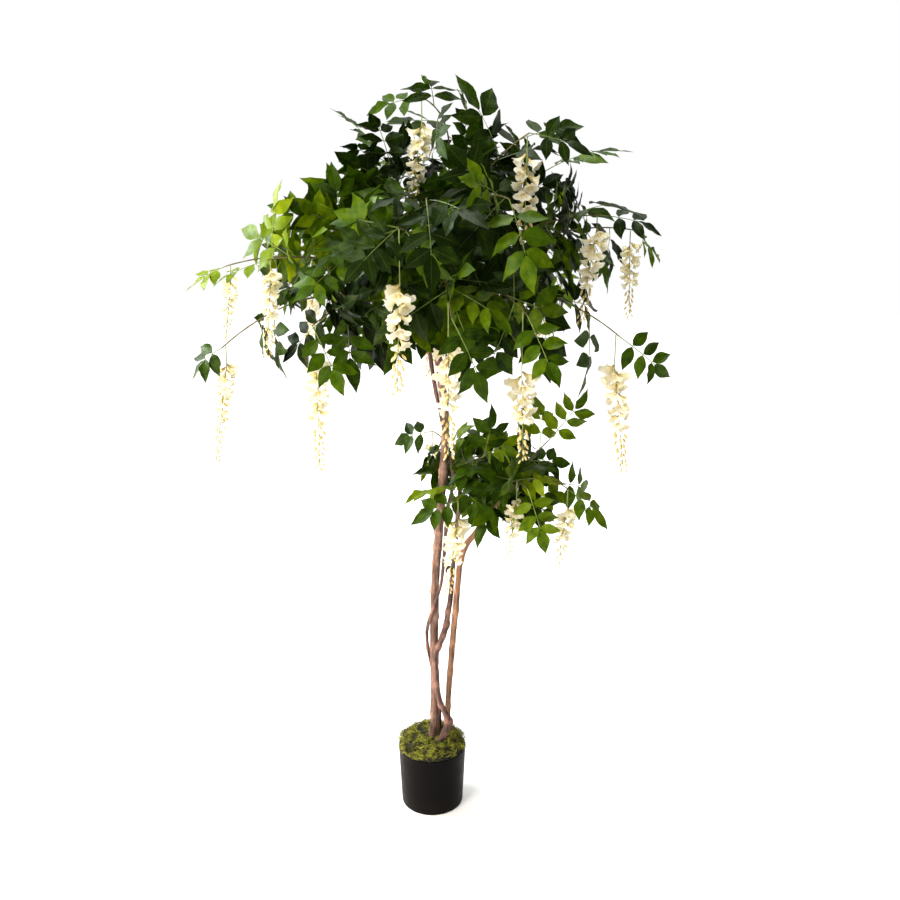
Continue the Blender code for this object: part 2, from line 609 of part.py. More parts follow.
def raceme_points(raceme, scale=1):
    """Rings of a raceme from the twig down: a thin stalk, then a spiral of pointed flowers that shrink to buds."""
    hook = raceme_axis(raceme, 0).z
    drop = (hook - raceme.top) / (hook - raceme.top + raceme.length)
    flower_rings = RACEME_RINGS - PEDUNCLE_RINGS
    rings = [[raceme_axis(raceme, 0)]]
    for i in range(1, RACEME_RINGS):
        if i <= PEDUNCLE_RINGS:
            s = drop * i / PEDUNCLE_RINGS * 0.98
            centre = raceme_axis(raceme, s)
            spread = [PEDUNCLE_RADIUS] * RACEME_SIDES
        else:
            share = (i - PEDUNCLE_RINGS) / flower_rings
            centre = raceme_axis(raceme, drop + (1 - drop) * share)
            full = raceme.radius * (1 - share) ** 0.55
            spread = [full if (i + j) % 2 else 0.30 * full + 0.001 for j in range(RACEME_SIDES)]
        ring = []
        for j, radius in enumerate(spread):
            angle = 2 * math.pi * j / RACEME_SIDES + 0.35 * i
            ring.append(centre + Vector((math.cos(angle), math.sin(angle), 0)) * radius * scale)
        rings.append(ring)
    rings.append([raceme_axis(raceme, 1)])
    return rings


def raceme_mesh(raceme, scale=1):
    rings = raceme_points(raceme, scale)
    points = [p for ring in rings for p in ring]
    faces = []
    n = RACEME_SIDES
    for j in range(n):
        k = (j + 1) % n
        faces.append((0, 1 + k, 1 + j))
        for i in range(RACEME_RINGS - 2):
            upper, lower = 1 + n * i, 1 + n * (i + 1)
            faces += [(upper + j, upper + k, lower + k), (upper + j, lower + k, lower + j)]
        lowest = 1 + n * (RACEME_RINGS - 2)
        faces.append((lowest + j, lowest + k, len(points) - 1))
    return points, faces


def sight_sheets(raceme):
    """Three upright sheets from a raceme towards someone before or behind the tree.

    Only the last leaf of a twig may cross them, so that the racemes hang free and are seen.
    """
    points, faces = [], []
    for side in (-SIGHT_SHARE, 0, SIGHT_SHARE):
        first = len(points)
        for s in (0, SIGHT_SHARE):
            near = raceme_axis(raceme, s) + Vector((side * raceme.radius, 0, 0))
            viewer = Vector(VIEWER)
            viewer.y *= 1 if near.y > 0.1 else -1
            points += [near, near + (viewer - near).normalized() * SIGHT_LENGTH]
        faces.append((first, first + 1, first + 3, first + 2))
    return points, faces


def make_raceme(name, raceme, home):
    points, faces = raceme_mesh(raceme)
    mesh = bpy.data.meshes.new("raceme_" + name)
    mesh.from_pydata(points, [], faces)
    shape = bmesh.new()
    shape.from_mesh(mesh)
    bmesh.ops.recalc_face_normals(shape, faces=shape.faces)
    shape.to_mesh(mesh)
    shape.free()
    return add_object("raceme_" + name, mesh, home, "petal")


def make_stem(name, home, widen=0.0):
    centres, radii = stem_rings(name)
    if widen:
        centres[0] = centres[0] - UP * widen
        centres = [c for c in centres if c.z < POT_HEIGHT + 0.12]
        radii = radii[: len(centres)]
    stem = tube(name, centres, [r + widen for r in radii], STEM_BEVEL[name], home)
    if name == "side_vine" and not widen:
        stub = tube("stub", [Vector(STUB_BASE), Vector(STUB_TIP)], [0.0045, 0.0035], 1, home)
        boolean(stem, stub, "UNION")
    stem.data.materials.clear()
    stem.data.materials.append(material("dark_wood" if "vine" in name else "wood"))
    return stem


def drill_socket(stem, spray, home):
    """Cuts the hole that a twig sits in."""
    path, radii = twig_path(spray)
    along = (path[1] - path[0]).normalized()
    clear = GAP + 0.00005
    reach = path[0] + along * (SOCKET_DEPTH + 0.022)
    wide = (radii[0] + clear) / math.cos(math.pi / 6)
    cutter = tube("socket", [path[0] - along * clear, reach], [wide, wide], 1, home)
    boolean(stem, cutter, "DIFFERENCE")


def main():
    clear_scene()
    tree = collection("wisteria_tree", True)
    helpers = collection("cutters", False)

    make_pot(tree)
    plug = make_plug(tree)
    moss = make_moss(tree)
    stems = {name: make_stem(name, tree) for name in STEMS}
    for name in STEMS:
        boolean(plug, make_stem(name, helpers, GAP), "DIFFERENCE")
        boolean(moss, make_stem(name, helpers, GAP), "DIFFERENCE")

    obstacles = [("stem", tree_of_object(stem)) for stem in stems.values()]
    twigs = {}
    for name, spray in SPRAYS.items():
        twigs[name] = make_twig(name, spray, tree)
        obstacles.append((name, tree_of_object(twigs[name])))
    for name, raceme in RACEMES.items():
        make_raceme(name, raceme, tree)
        obstacles.append(("raceme", surface_tree(*raceme_mesh(raceme, 1.15))))
        obstacles.append(("sight", surface_tree(*sight_sheets(raceme))))
    for seed, (name, spray) in enumerate(SPRAYS.items()):
        leaves = grow_leaves(name, spray, obstacles, random.Random(SEED + seed))
        add_leaves(twigs[name], leaves, helpers)
        drill_socket(stems[spray.stem], spray, helpers)


main()
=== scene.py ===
import math
import random

import bmesh
import bpy
import numpy as np
from mathutils import Matrix, Vector, noise
from mathutils.bvhtree import BVHTree
from mathutils.kdtree import KDTree


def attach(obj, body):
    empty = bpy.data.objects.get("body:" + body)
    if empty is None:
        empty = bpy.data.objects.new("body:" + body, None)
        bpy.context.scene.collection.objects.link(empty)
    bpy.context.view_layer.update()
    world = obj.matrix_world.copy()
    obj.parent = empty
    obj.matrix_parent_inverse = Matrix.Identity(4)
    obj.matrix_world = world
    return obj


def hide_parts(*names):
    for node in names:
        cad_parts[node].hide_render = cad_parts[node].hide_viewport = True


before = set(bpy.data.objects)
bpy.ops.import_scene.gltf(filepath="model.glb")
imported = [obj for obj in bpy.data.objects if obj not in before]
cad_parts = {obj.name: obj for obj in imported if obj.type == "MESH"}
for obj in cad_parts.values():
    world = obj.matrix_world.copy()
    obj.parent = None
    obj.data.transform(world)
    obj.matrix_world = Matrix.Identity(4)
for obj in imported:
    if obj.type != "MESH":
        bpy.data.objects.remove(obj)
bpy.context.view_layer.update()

# Studio
# The tree stands on seamless white paper. A window lights it from behind on the left, softboxes fill the
# front, the top and the pot's left side, and the camera stands about two metres in front of it, at the
# height of the crown.
CAMERA_PLACE = Vector((0.0465, -2.150, 1.500))
CAMERA_PITCH = math.radians(14.3)
FOCAL_PIXELS = 923
PHOTO_PIXELS = 900
SENSOR_WIDTH = 36.0
FLOOR_RADIUS = 14.0
CROWN_MIDDLE = Vector((0.02, 0.00, 1.35))
POT_MIDDLE = Vector((0.00, 0.00, 0.15))
WINDOW_WAY = (-0.55, 0.80, 0.24)


def linear(code):
    """The linear colour of an sRGB hex value."""
    parts = [int(code[i : i + 2], 16) / 255 for i in (0, 2, 4)]
    return (*[p / 12.92 if p <= 0.04045 else ((p + 0.055) / 1.055) ** 2.4 for p in parts], 1)


def set_inputs(tree, node, inputs):
    """Sets each input of a node to a value, or links another node's output to it."""
    for key, value in inputs.items():
        if isinstance(value, bpy.types.NodeSocket):
            tree.links.new(value, node.inputs[key])
        else:
            node.inputs[key].default_value = value


def add_node(tree, kind, inputs=(), stops=(), **settings):
    """Adds a node with its settings, its inputs and, on a ramp, its stops: each a place and a colour."""
    made = tree.nodes.new(kind)
    for key, value in settings.items():
        setattr(made, key, value)
    set_inputs(tree, made, dict(inputs))
    for number, (place, code) in enumerate(stops):
        ramp = made.color_ramp.elements
        stop = ramp[number] if number < 2 else ramp.new(place)
        stop.position = place
        stop.color = linear(code)
    return made


def begin_material(name):
    """A new material with its node tree and its shader."""
    made = bpy.data.materials.new(name)
    made.use_nodes = True
    return made, made.node_tree, made.node_tree.nodes["Principled BSDF"]


def softbox(place, target, size, watts, code):
    """A rectangular light at a place, turned towards its target."""
    bpy.ops.object.light_add(type="AREA", location=place)
    lamp = bpy.context.object
    lamp.rotation_euler = (Vector(target) - Vector(place)).to_track_quat("-Z", "Y").to_euler()
    lamp.data.shape = "RECTANGLE"
    lamp.data.size, lamp.data.size_y = size
    lamp.data.energy = watts
    lamp.data.color = linear(code)[:3]


bpy.ops.object.camera_add(location=CAMERA_PLACE, rotation=(math.pi / 2 - CAMERA_PITCH, 0, 0))
camera = bpy.context.object
camera.data.sensor_width = SENSOR_WIDTH
camera.data.lens = SENSOR_WIDTH * FOCAL_PIXELS / PHOTO_PIXELS
camera.data.dof.use_dof = False
bpy.context.scene.camera = camera
bpy.context.scene.view_settings.view_transform = "Standard"

softbox((-3.0, 0.9, 2.6), CROWN_MIDDLE, (1.6, 2.2), 150, "eef6ff")
softbox((-2.0, -2.6, 2.6), CROWN_MIDDLE, (1.6, 1.6), 140, "fff8ee")
softbox((0.2, 0.4, 4.2), CROWN_MIDDLE, (2.2, 2.2), 90, "ffffff")
softbox((-1.5, -0.5, 0.5), POT_MIDDLE, (0.5, 0.8), 22, "ffdcc0")

# Only rays from the camera see the plain white of the paper. The light that falls on the tree is a grey
# room that brightens towards the window behind it on the left, so the thin leaves at the crown's edge are
# lit through.
world = bpy.data.worlds.new("studio")
bpy.context.scene.world = world
world.use_nodes = True
tree = world.node_tree
tree.nodes.clear()
direction = add_node(tree, "ShaderNodeTexCoord")
to_window = add_node(
    tree, "ShaderNodeVectorMath", {0: direction.outputs["Generated"], 1: WINDOW_WAY}, operation="DOT_PRODUCT"
)
nearness = add_node(
    tree, "ShaderNodeMapRange", {0: to_window.outputs["Value"], 1: -1.0, 2: 1.0, 3: 0.0, 4: 1.0}
)
room = add_node(
    tree, "ShaderNodeValToRGB", {0: nearness.outputs[0]},
    stops=[(0.0, "474542"), (1.0, "fffdf6"), (0.40, "6c6a66"), (0.70, "b8b7b2")],
)
rays = add_node(tree, "ShaderNodeLightPath")
seen = add_node(
    tree, "ShaderNodeMix", {0: rays.outputs["Is Camera Ray"], 6: room.outputs["Color"], 7: (1, 1, 1, 1)},
    data_type="RGBA",
)
strength = add_node(tree, "ShaderNodeMapRange", {0: rays.outputs["Is Camera Ray"], 3: 1.25, 4: 1.0})
glow = add_node(tree, "ShaderNodeBackground", {"Color": seen.outputs[2], "Strength": strength.outputs[0]})
add_node(tree, "ShaderNodeOutputWorld", {0: glow.outputs[0]})

# Seamless paper. To the camera it also glows, weakly near the pot and more strongly further out, so that it
# fades into the white backdrop: a painted glow, not a lamp.
bpy.ops.mesh.primitive_circle_add(vertices=96, radius=FLOOR_RADIUS, fill_type="NGON")
floor = bpy.context.object
floor.name = "paper_floor"
paper, tree, shader = begin_material("matt_paper_painted_glow")
fibres = add_node(tree, "ShaderNodeTexNoise", {"Scale": 900.0, "Detail": 3.0})
bump = add_node(tree, "ShaderNodeBump", {"Strength": 0.05, "Distance": 0.0002, "Height": fibres.outputs[0]})
place = add_node(tree, "ShaderNodeTexCoord")
distance = add_node(tree, "ShaderNodeVectorMath", {0: place.outputs["Object"]}, operation="LENGTH")
# Painted glow: the paper's emission grows from 0.25 near the pot to 0.80 two metres out, and only camera rays
# see it.
painted_glow_fade = add_node(tree, "ShaderNodeMapRange", {0: distance.outputs["Value"], 1: 0.2, 2: 2.2, 3: 0.25, 4: 0.80})
rays = add_node(tree, "ShaderNodeLightPath")
lift = add_node(
    tree, "ShaderNodeMath", {0: painted_glow_fade.outputs[0], 1: rays.outputs["Is Camera Ray"]}, operation="MULTIPLY"
)
set_inputs(tree, shader, {
    "Base Color": linear("fbfbfa"), "Roughness": 0.9, "Normal": bump.outputs[0],
    "Emission Color": (1, 1, 1, 1), "Emission Strength": lift.outputs[0],
})
floor.data.materials.append(paper)


# Pot
# A plain round nursery pot of black-brown polypropylene, injection moulded with a slight taper and a thin
# rim. The cement is cast straight into it.
POT_HEIGHT = 0.160
POT_RIM_RADIUS = 0.087
POT_BASE_RADIUS = 0.0795
POT_WALL = 0.0022
POT_SIDES = 128
POT_FOOT_ROUND = 0.0040


def pot_outside(height):
    return POT_BASE_RADIUS + (POT_RIM_RADIUS - POT_BASE_RADIUS) * height / POT_HEIGHT


def turn_up(name, outline, sides):
    """A closed turned form: a disc at the first radius and height, extruded ring by ring to each next one."""
    bpy.ops.object.select_all(action="DESELECT")
    radius, height = outline[0]
    bpy.ops.mesh.primitive_circle_add(
        vertices=sides, radius=radius, fill_type="NGON", location=(0, 0, height)
    )
    made = bpy.context.object
    made.name = name
    bpy.ops.object.transform_apply(location=True, rotation=True, scale=True)
    bpy.ops.object.mode_set(mode="EDIT")
    bpy.ops.mesh.select_all(action="SELECT")
    for next_radius, next_height in outline[1:]:
        bpy.ops.mesh.extrude_region_move(TRANSFORM_OT_translate={"value": (0, 0, next_height - height)})
        share = next_radius / radius
        bpy.ops.transform.resize(value=(share, share, 1), center_override=(0, 0, 0))
        radius, height = next_radius, next_height
    bpy.ops.mesh.select_all(action="SELECT")
    bpy.ops.mesh.normals_make_consistent(inside=False)
    bpy.ops.object.mode_set(mode="OBJECT")
    return made


def stand_for(piece, slot, *nodes):
    """A piece rides on the one body and stands for CAD nodes, which are hidden. slot is not used."""
    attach(piece, "root")
    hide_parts(*nodes)


def smooth(piece, degrees):
    bpy.ops.object.select_all(action="DESELECT")
    piece.select_set(True)
    bpy.context.view_layer.objects.active = piece
    bpy.ops.object.shade_smooth_by_angle(angle=math.radians(degrees))


round_foot = [(POT_BASE_RADIUS - POT_FOOT_ROUND * (1 - math.sin(a)), POT_FOOT_ROUND * (1 - math.cos(a)))
              for a in (0.0, 0.4, 0.8, 1.2, math.pi / 2)]
wall_heights = [0.010 + 0.0147 * step for step in range(11)]
outer_wall = [(pot_outside(z), z) for z in wall_heights]
lip = POT_WALL / 2
round_lip = [(POT_RIM_RADIUS - lip + lip * math.cos(a), POT_HEIGHT - lip + lip * math.sin(a))
             for a in (0.0, 0.6, 1.1, math.pi / 2, 2.0, 2.5, math.pi)]
inner_wall = [(pot_outside(z) - POT_WALL, z) for z in wall_heights[::-1]]
inner_base = POT_BASE_RADIUS - POT_WALL
inner_floor = [(inner_base - 0.0015, POT_WALL + 0.0015), (inner_base - 0.0040, POT_WALL)]
pot = turn_up("pot_shell", round_foot + outer_wall + round_lip + inner_wall + inner_floor, POT_SIDES)
smooth(pot, 40)

# Moulded polypropylene: a satin skin with a fine grain, a little dust near the foot and slow changes in
# gloss.
plastic, tree, shader = begin_material("moulded_polypropylene")
place = add_node(tree, "ShaderNodeTexCoord")
height = add_node(tree, "ShaderNodeSeparateXYZ", {0: place.outputs["Object"]})
cloud = add_node(
    tree, "ShaderNodeTexNoise", {"Vector": place.outputs["Object"], "Scale": 28.0, "Detail": 4.0}
)
dust_height = add_node(tree, "ShaderNodeMapRange", {0: height.outputs["Z"], 1: 0.055, 2: 0.0, 3: 0.0, 4: 0.5})
dust = add_node(
    tree, "ShaderNodeMath", {0: dust_height.outputs[0], 1: cloud.outputs[0]},
    operation="MULTIPLY", use_clamp=True,
)
skin = add_node(
    tree, "ShaderNodeMix", {0: dust.outputs[0], 6: linear("080606"), 7: linear("241e1a")}, data_type="RGBA"
)
gloss = add_node(tree, "ShaderNodeMapRange", {0: cloud.outputs[0], 1: 0.3, 2: 0.7, 3: 0.36, 4: 0.50})
grain = add_node(
    tree, "ShaderNodeTexNoise", {"Vector": place.outputs["Object"], "Scale": 1400.0, "Detail": 2.0}
)
bump = add_node(tree, "ShaderNodeBump", {"Strength": 0.25, "Distance": 0.0003, "Height": grain.outputs[0]})
set_inputs(tree, shader, {
    "Base Color": skin.outputs[2], "Roughness": gloss.outputs[0], "Normal": bump.outputs[0],
    "Specular IOR Level": 0.06,
})
pot.data.materials.append(plastic)
stand_for(pot, "pot", "pot")


# Cement plug
# Cement is cast in the pot round the feet of the stems. It weighs the tree down and is hidden by the
# moss, so the CAD solid stays and only takes a finish.
cement, tree, shader = begin_material("cast_cement")
place = add_node(tree, "ShaderNodeTexCoord")
sand = add_node(
    tree, "ShaderNodeTexNoise", {"Vector": place.outputs["Object"], "Scale": 350.0, "Detail": 6.0}
)
stone = add_node(
    tree, "ShaderNodeValToRGB", {0: sand.outputs[0]}, stops=[(0.3, "7c766c"), (0.7, "a39c8f")]
)
bump = add_node(tree, "ShaderNodeBump", {"Strength": 0.6, "Distance": 0.0006, "Height": sand.outputs[0]})
set_inputs(tree, shader, {"Base Color": stone.outputs["Color"], "Normal": bump.outputs[0], "Roughness": 0.9})
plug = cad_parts["filler_plug"]
plug.data.materials.clear()
plug.data.materials.append(cement)


# Stems
# Four stems of real liana wood with the bark on, gathered and twisted together by hand. The trunk and the
# pole are smoother and paler, and the two vines are darker and knotty. All four stand in the cement.
# Centre points and radius of the wood: x, y, z, radius
STEMS = {
    "main_trunk": [
        (0.001, 0.000, 0.030, 0.0115), (0.002, 0.000, 0.155, 0.0115), (0.006, 0.000, 0.234, 0.0106),
        (0.008, 0.000, 0.343, 0.0100), (0.006, 0.000, 0.413, 0.0096), (0.008, 0.000, 0.564, 0.0093),
        (0.013, 0.000, 0.665, 0.0095), (0.022, 0.000, 0.777, 0.0093), (0.031, 0.000, 0.907, 0.0092),
        (0.036, 0.000, 1.030, 0.0090), (0.026, 0.000, 1.118, 0.0088), (0.019, 0.000, 1.179, 0.0086),
        (0.007, 0.002, 1.240, 0.0086), (0.004, 0.004, 1.330, 0.0084), (0.010, 0.004, 1.450, 0.0078),
    ],
    "twining_vine": [
        (0.022, 0.026, 0.030, 0.0042), (0.021, 0.026, 0.155, 0.0042), (0.020, 0.027, 0.213, 0.0042),
        (0.018, 0.027, 0.271, 0.0042), (0.004, 0.021, 0.346, 0.0040), (-0.008, 0.009, 0.417, 0.0040),
        (-0.012, -0.004, 0.467, 0.0042), (-0.009, -0.010, 0.500, 0.0042), (0.001, -0.016, 0.538, 0.0040),
        (0.014, -0.016, 0.576, 0.0040), (0.026, -0.008, 0.621, 0.0040), (0.034, 0.002, 0.709, 0.0042),
        (0.040, 0.002, 0.798, 0.0044), (0.053, 0.000, 0.864, 0.0044), (0.049, 0.008, 0.922, 0.0042),
        (0.037, 0.018, 0.972, 0.0042), (0.022, 0.013, 1.045, 0.0044), (0.009, 0.008, 1.116, 0.0046),
        (0.000, 0.002, 1.179, 0.0050), (-0.009, 0.000, 1.221, 0.0052), (-0.015, 0.000, 1.286, 0.0054),
        (-0.016, 0.000, 1.360, 0.0052),
    ],
    "side_vine": [
        (0.010, -0.026, 0.030, 0.0070), (0.011, -0.025, 0.150, 0.0070), (0.030, -0.025, 0.202, 0.0078),
        (0.042, -0.021, 0.233, 0.0086), (0.034, -0.020, 0.262, 0.0078), (0.021, -0.023, 0.293, 0.0076),
        (0.013, -0.023, 0.332, 0.0076), (0.010, -0.021, 0.387, 0.0076), (0.012, -0.019, 0.430, 0.0074),
        (0.024, -0.012, 0.460, 0.0074), (0.035, 0.000, 0.488, 0.0072), (0.042, 0.007, 0.529, 0.0066),
        (0.048, 0.013, 0.567, 0.0062), (0.052, 0.014, 0.613, 0.0060), (0.054, 0.012, 0.651, 0.0060),
        (0.059, 0.011, 0.706, 0.0056), (0.064, 0.010, 0.766, 0.0054), (0.071, 0.010, 0.836, 0.0052),
        (0.074, 0.010, 0.905, 0.0050),
    ],
    "side_pole": [
        (0.041, 0.023, 0.030, 0.0074), (0.040, 0.022, 0.155, 0.0074), (0.042, 0.016, 0.277, 0.0074),
        (0.049, 0.010, 0.394, 0.0076), (0.058, 0.000, 0.509, 0.0076), (0.066, -0.002, 0.604, 0.0076),
        (0.072, -0.002, 0.665, 0.0074), (0.086, 0.000, 0.710, 0.0072), (0.107, 0.000, 0.738, 0.0068),
        (0.125, 0.000, 0.767, 0.0064), (0.144, 0.000, 0.795, 0.0060), (0.166, 0.002, 0.822, 0.0056),
    ],
}
# Knots: height up the stem, the side it looks to in degrees from +X, and how far it stands out
KNOTS = {
    "main_trunk": [
        (0.245, 200, 0.0014), (0.330, -35, 0.0016), (0.432, 95, 0.0008), (0.520, 20, 0.0018),
        (0.588, 182, 0.0022), (0.663, 178, 0.0020), (0.705, 185, 0.0024), (0.744, 176, 0.0030),
        (0.800, 60, 0.0018), (0.858, -60, 0.0014), (0.900, 182, 0.0024), (0.916, -95, 0.0016),
        (0.985, 30, 0.0018), (1.040, -120, 0.0016), (1.110, 5, 0.0016), (1.165, 170, 0.0014),
    ],
    "twining_vine": [
        (0.300, 10, 0.0012), (0.430, 190, 0.0012), (0.545, -90, 0.0012), (0.660, 0, 0.0014),
        (0.752, 10, 0.0015), (0.835, -20, 0.0014), (0.930, 0, 0.0014), (1.060, -80, 0.0014),
        (1.190, 180, 0.0015),
    ],
    "side_vine": [
        (0.205, -60, 0.0014), (0.238, -10, 0.0022), (0.285, 190, 0.0018), (0.345, -80, 0.0014),
        (0.402, 185, 0.0012), (0.445, -5, 0.0022), (0.470, -30, 0.0018), (0.496, 5, 0.0026),
        (0.530, 170, 0.0018), (0.610, -60, 0.0014), (0.700, 0, 0.0014), (0.790, 180, 0.0012),
    ],
    "side_pole": [
        (0.262, 0, 0.0012), (0.360, 5, 0.0014), (0.450, -20, 0.0014), (0.536, 10, 0.0016),
        (0.590, 190, 0.0012), (0.672, -5, 0.0014), (0.742, -80, 0.0014),
    ],
}
# Where a stem is thicker than its route says: middle height, share of the radius, half height
SWELLS = {
    "main_trunk": [(0.172, 0.26, 0.034), (0.50, 0.11, 0.34)],
    "side_vine": [(0.172, 0.30, 0.024), (0.232, 0.36, 0.018)],
}
BARK_RING_GAP = 0.0036
STUB_RING_GAP = 0.0016
STUB_SIDES = 16
# A knot's half height, half turn in radians and the half height of the ring round the stem at it
KNOT_HALF_HEIGHT = 0.0075
KNOT_HALF_TURN = 0.55
KNOT_RING = 0.006
KNOT_REACH = 0.03
CUT_END = 0.0012
BARK_SIDES = {"main_trunk": 30, "twining_vine": 16, "side_vine": 24, "side_pole": 24}
STUB_ROUTE = [(0.055, 0.012, 0.636), (0.049, 0.003, 0.647), (0.043, -0.006, 0.654), (0.038, -0.012, 0.650),
              (0.037, -0.014, 0.641)]
STUB_RADII = [0.0046, 0.0042, 0.0038, 0.0030, 0.0016]


def smooth_path(points, count):
    """Returns count points on a smooth curve through the given points, the same number in each span."""
    points = [Vector(p) for p in points]
    ends = [points[0] * 2 - points[1], *points, points[-1] * 2 - points[-2]]
    spans = len(points) - 1
    path = []
    for i in range(count):
        position = i * spans / (count - 1)
        span = min(int(position), spans - 1)
        t = position - span
        a, b, c, d = ends[span : span + 4]
        square, cube = 2 * a - 5 * b + 4 * c - d, 3 * b - a - 3 * c + d
        path.append(0.5 * ((2 * b) + (c - a) * t + square * t**2 + cube * t**3))
    return path


def net(name, across, along):
    """A flat net of quads whose lines lie at the given shares from 0 to 1, which are its UVs too."""
    columns, rows = len(across) - 1, len(along) - 1
    bpy.ops.object.select_all(action="DESELECT")
    bpy.ops.mesh.primitive_grid_add(x_subdivisions=columns, y_subdivisions=rows, size=1)
    made = bpy.context.object
    made.name = name
    for vertex in made.data.vertices:
        column = round((vertex.co.x + 0.5) * columns)
        row = round((vertex.co.y + 0.5) * rows)
        vertex.co = (across[column], along[row], 0)
    corners = made.data.uv_layers[0].data
    for loop in made.data.loops:
        corners[loop.index].uv = made.data.vertices[loop.vertex_index].co.xy
    return made


def even(count):
    return [i / count for i in range(count + 1)]


def mend(piece, distance=0.00001):
    """Closes seams and poles, and turns the faces outwards."""
    bpy.ops.object.select_all(action="DESELECT")
    piece.select_set(True)
    bpy.context.view_layer.objects.active = piece
    bpy.ops.object.mode_set(mode="EDIT")
    bpy.ops.mesh.select_all(action="SELECT")
    bpy.ops.mesh.remove_doubles(threshold=distance)
    bpy.ops.mesh.normals_make_consistent(inside=False)
    bpy.ops.object.mode_set(mode="OBJECT")


def add_shade(piece, values):
    """Keeps one number from 0 to 1 for each point, which the material turns into a colour."""
    kept = piece.data.attributes.get("shade") or piece.data.attributes.new("shade", "FLOAT", "POINT")
    kept.data.foreach_set("value", np.asarray(values, np.float32))


def wood_relief(name, angle, height, radius):
    """How far the bark stands out: long ridges, fine ridges and knots, as a share of the radius."""
    across = Vector((math.cos(angle), math.sin(angle), 0))
    ridges = noise.noise(across * 1.3 + Vector((0, 0, height * 22)))
    fine = noise.noise(across * 4.5 + Vector((7, 0, height * 75)))
    swell = noise.noise(Vector((3, 5, height * 16)))
    relief = 0.14 * ridges + 0.08 * fine + 0.16 * swell
    for knot_height, degrees, rise in KNOTS.get(name, ()):
        if abs(height - knot_height) < KNOT_REACH:
            turn = (angle - math.radians(degrees) + math.pi) % (2 * math.pi) - math.pi
            off = math.hypot((height - knot_height) / KNOT_HALF_HEIGHT, turn / KNOT_HALF_TURN)
            relief += 1.3 * rise / radius * (math.exp(-off * off) - 0.7 * math.exp(-((off * 2.6) ** 2)))
            relief += 0.35 * rise / radius * math.exp(-(((height - knot_height) / KNOT_RING) ** 2))
    return relief


def bark_tube(name, route, radii, sides, ring_gap):
    """A stem as a closed tube round a route, with its bark in relief. Its shade follows the relief, lower in
    the furrows and higher on the ridges: painted shade in the furrows, partly the bark's own darker colour
    there.
    """
    length = sum((b - a).length for a, b in zip(route, route[1:]))
    count = max(8, round(length / ring_gap))
    centres = smooth_path(route, count)
    widths = [w.x for w in smooth_path([(r, 0, 0) for r in radii], count)]
    rows = [0, 0, *range(count), count - 1, count - 1]
    swells = [0, 0.8, *[1] * count, 0.8, 0]
    made = net(name + "_bark", even(sides), even(len(rows) - 1))
    shades = []
    for vertex in made.data.vertices:
        angle = 2 * math.pi * vertex.co.x
        row = round(vertex.co.y * (len(rows) - 1))
        ring = rows[row]
        before, after = centres[max(0, ring - 1)], centres[min(count - 1, ring + 1)]
        along = (after - before).normalized()
        side = (Vector((1, 0, 0)) - along * along.x).normalized()
        front = along.cross(side)
        grain = wood_relief(name, angle, centres[ring].z, widths[ring])
        relief = grain
        for middle_height, share, half in SWELLS.get(name, ()):
            relief += share * math.exp(-(((centres[ring].z - middle_height) / half) ** 2))
        reach = widths[ring] * (1 + relief) * swells[row]
        end = CUT_END * (1 if row == 0 else -1 if row == len(rows) - 1 else 0)
        vertex.co = centres[ring] + (side * math.cos(angle) + front * math.sin(angle)) * reach - along * end
        # Painted shade: the shade follows the relief, lower in the furrows, partly the bark's own darker
        # colour there.
        shades.append(min(1, max(0, 0.5 + 2.4 * grain)))
    add_shade(made, shades)
    mend(made)
    smooth(made, 60)
    return made


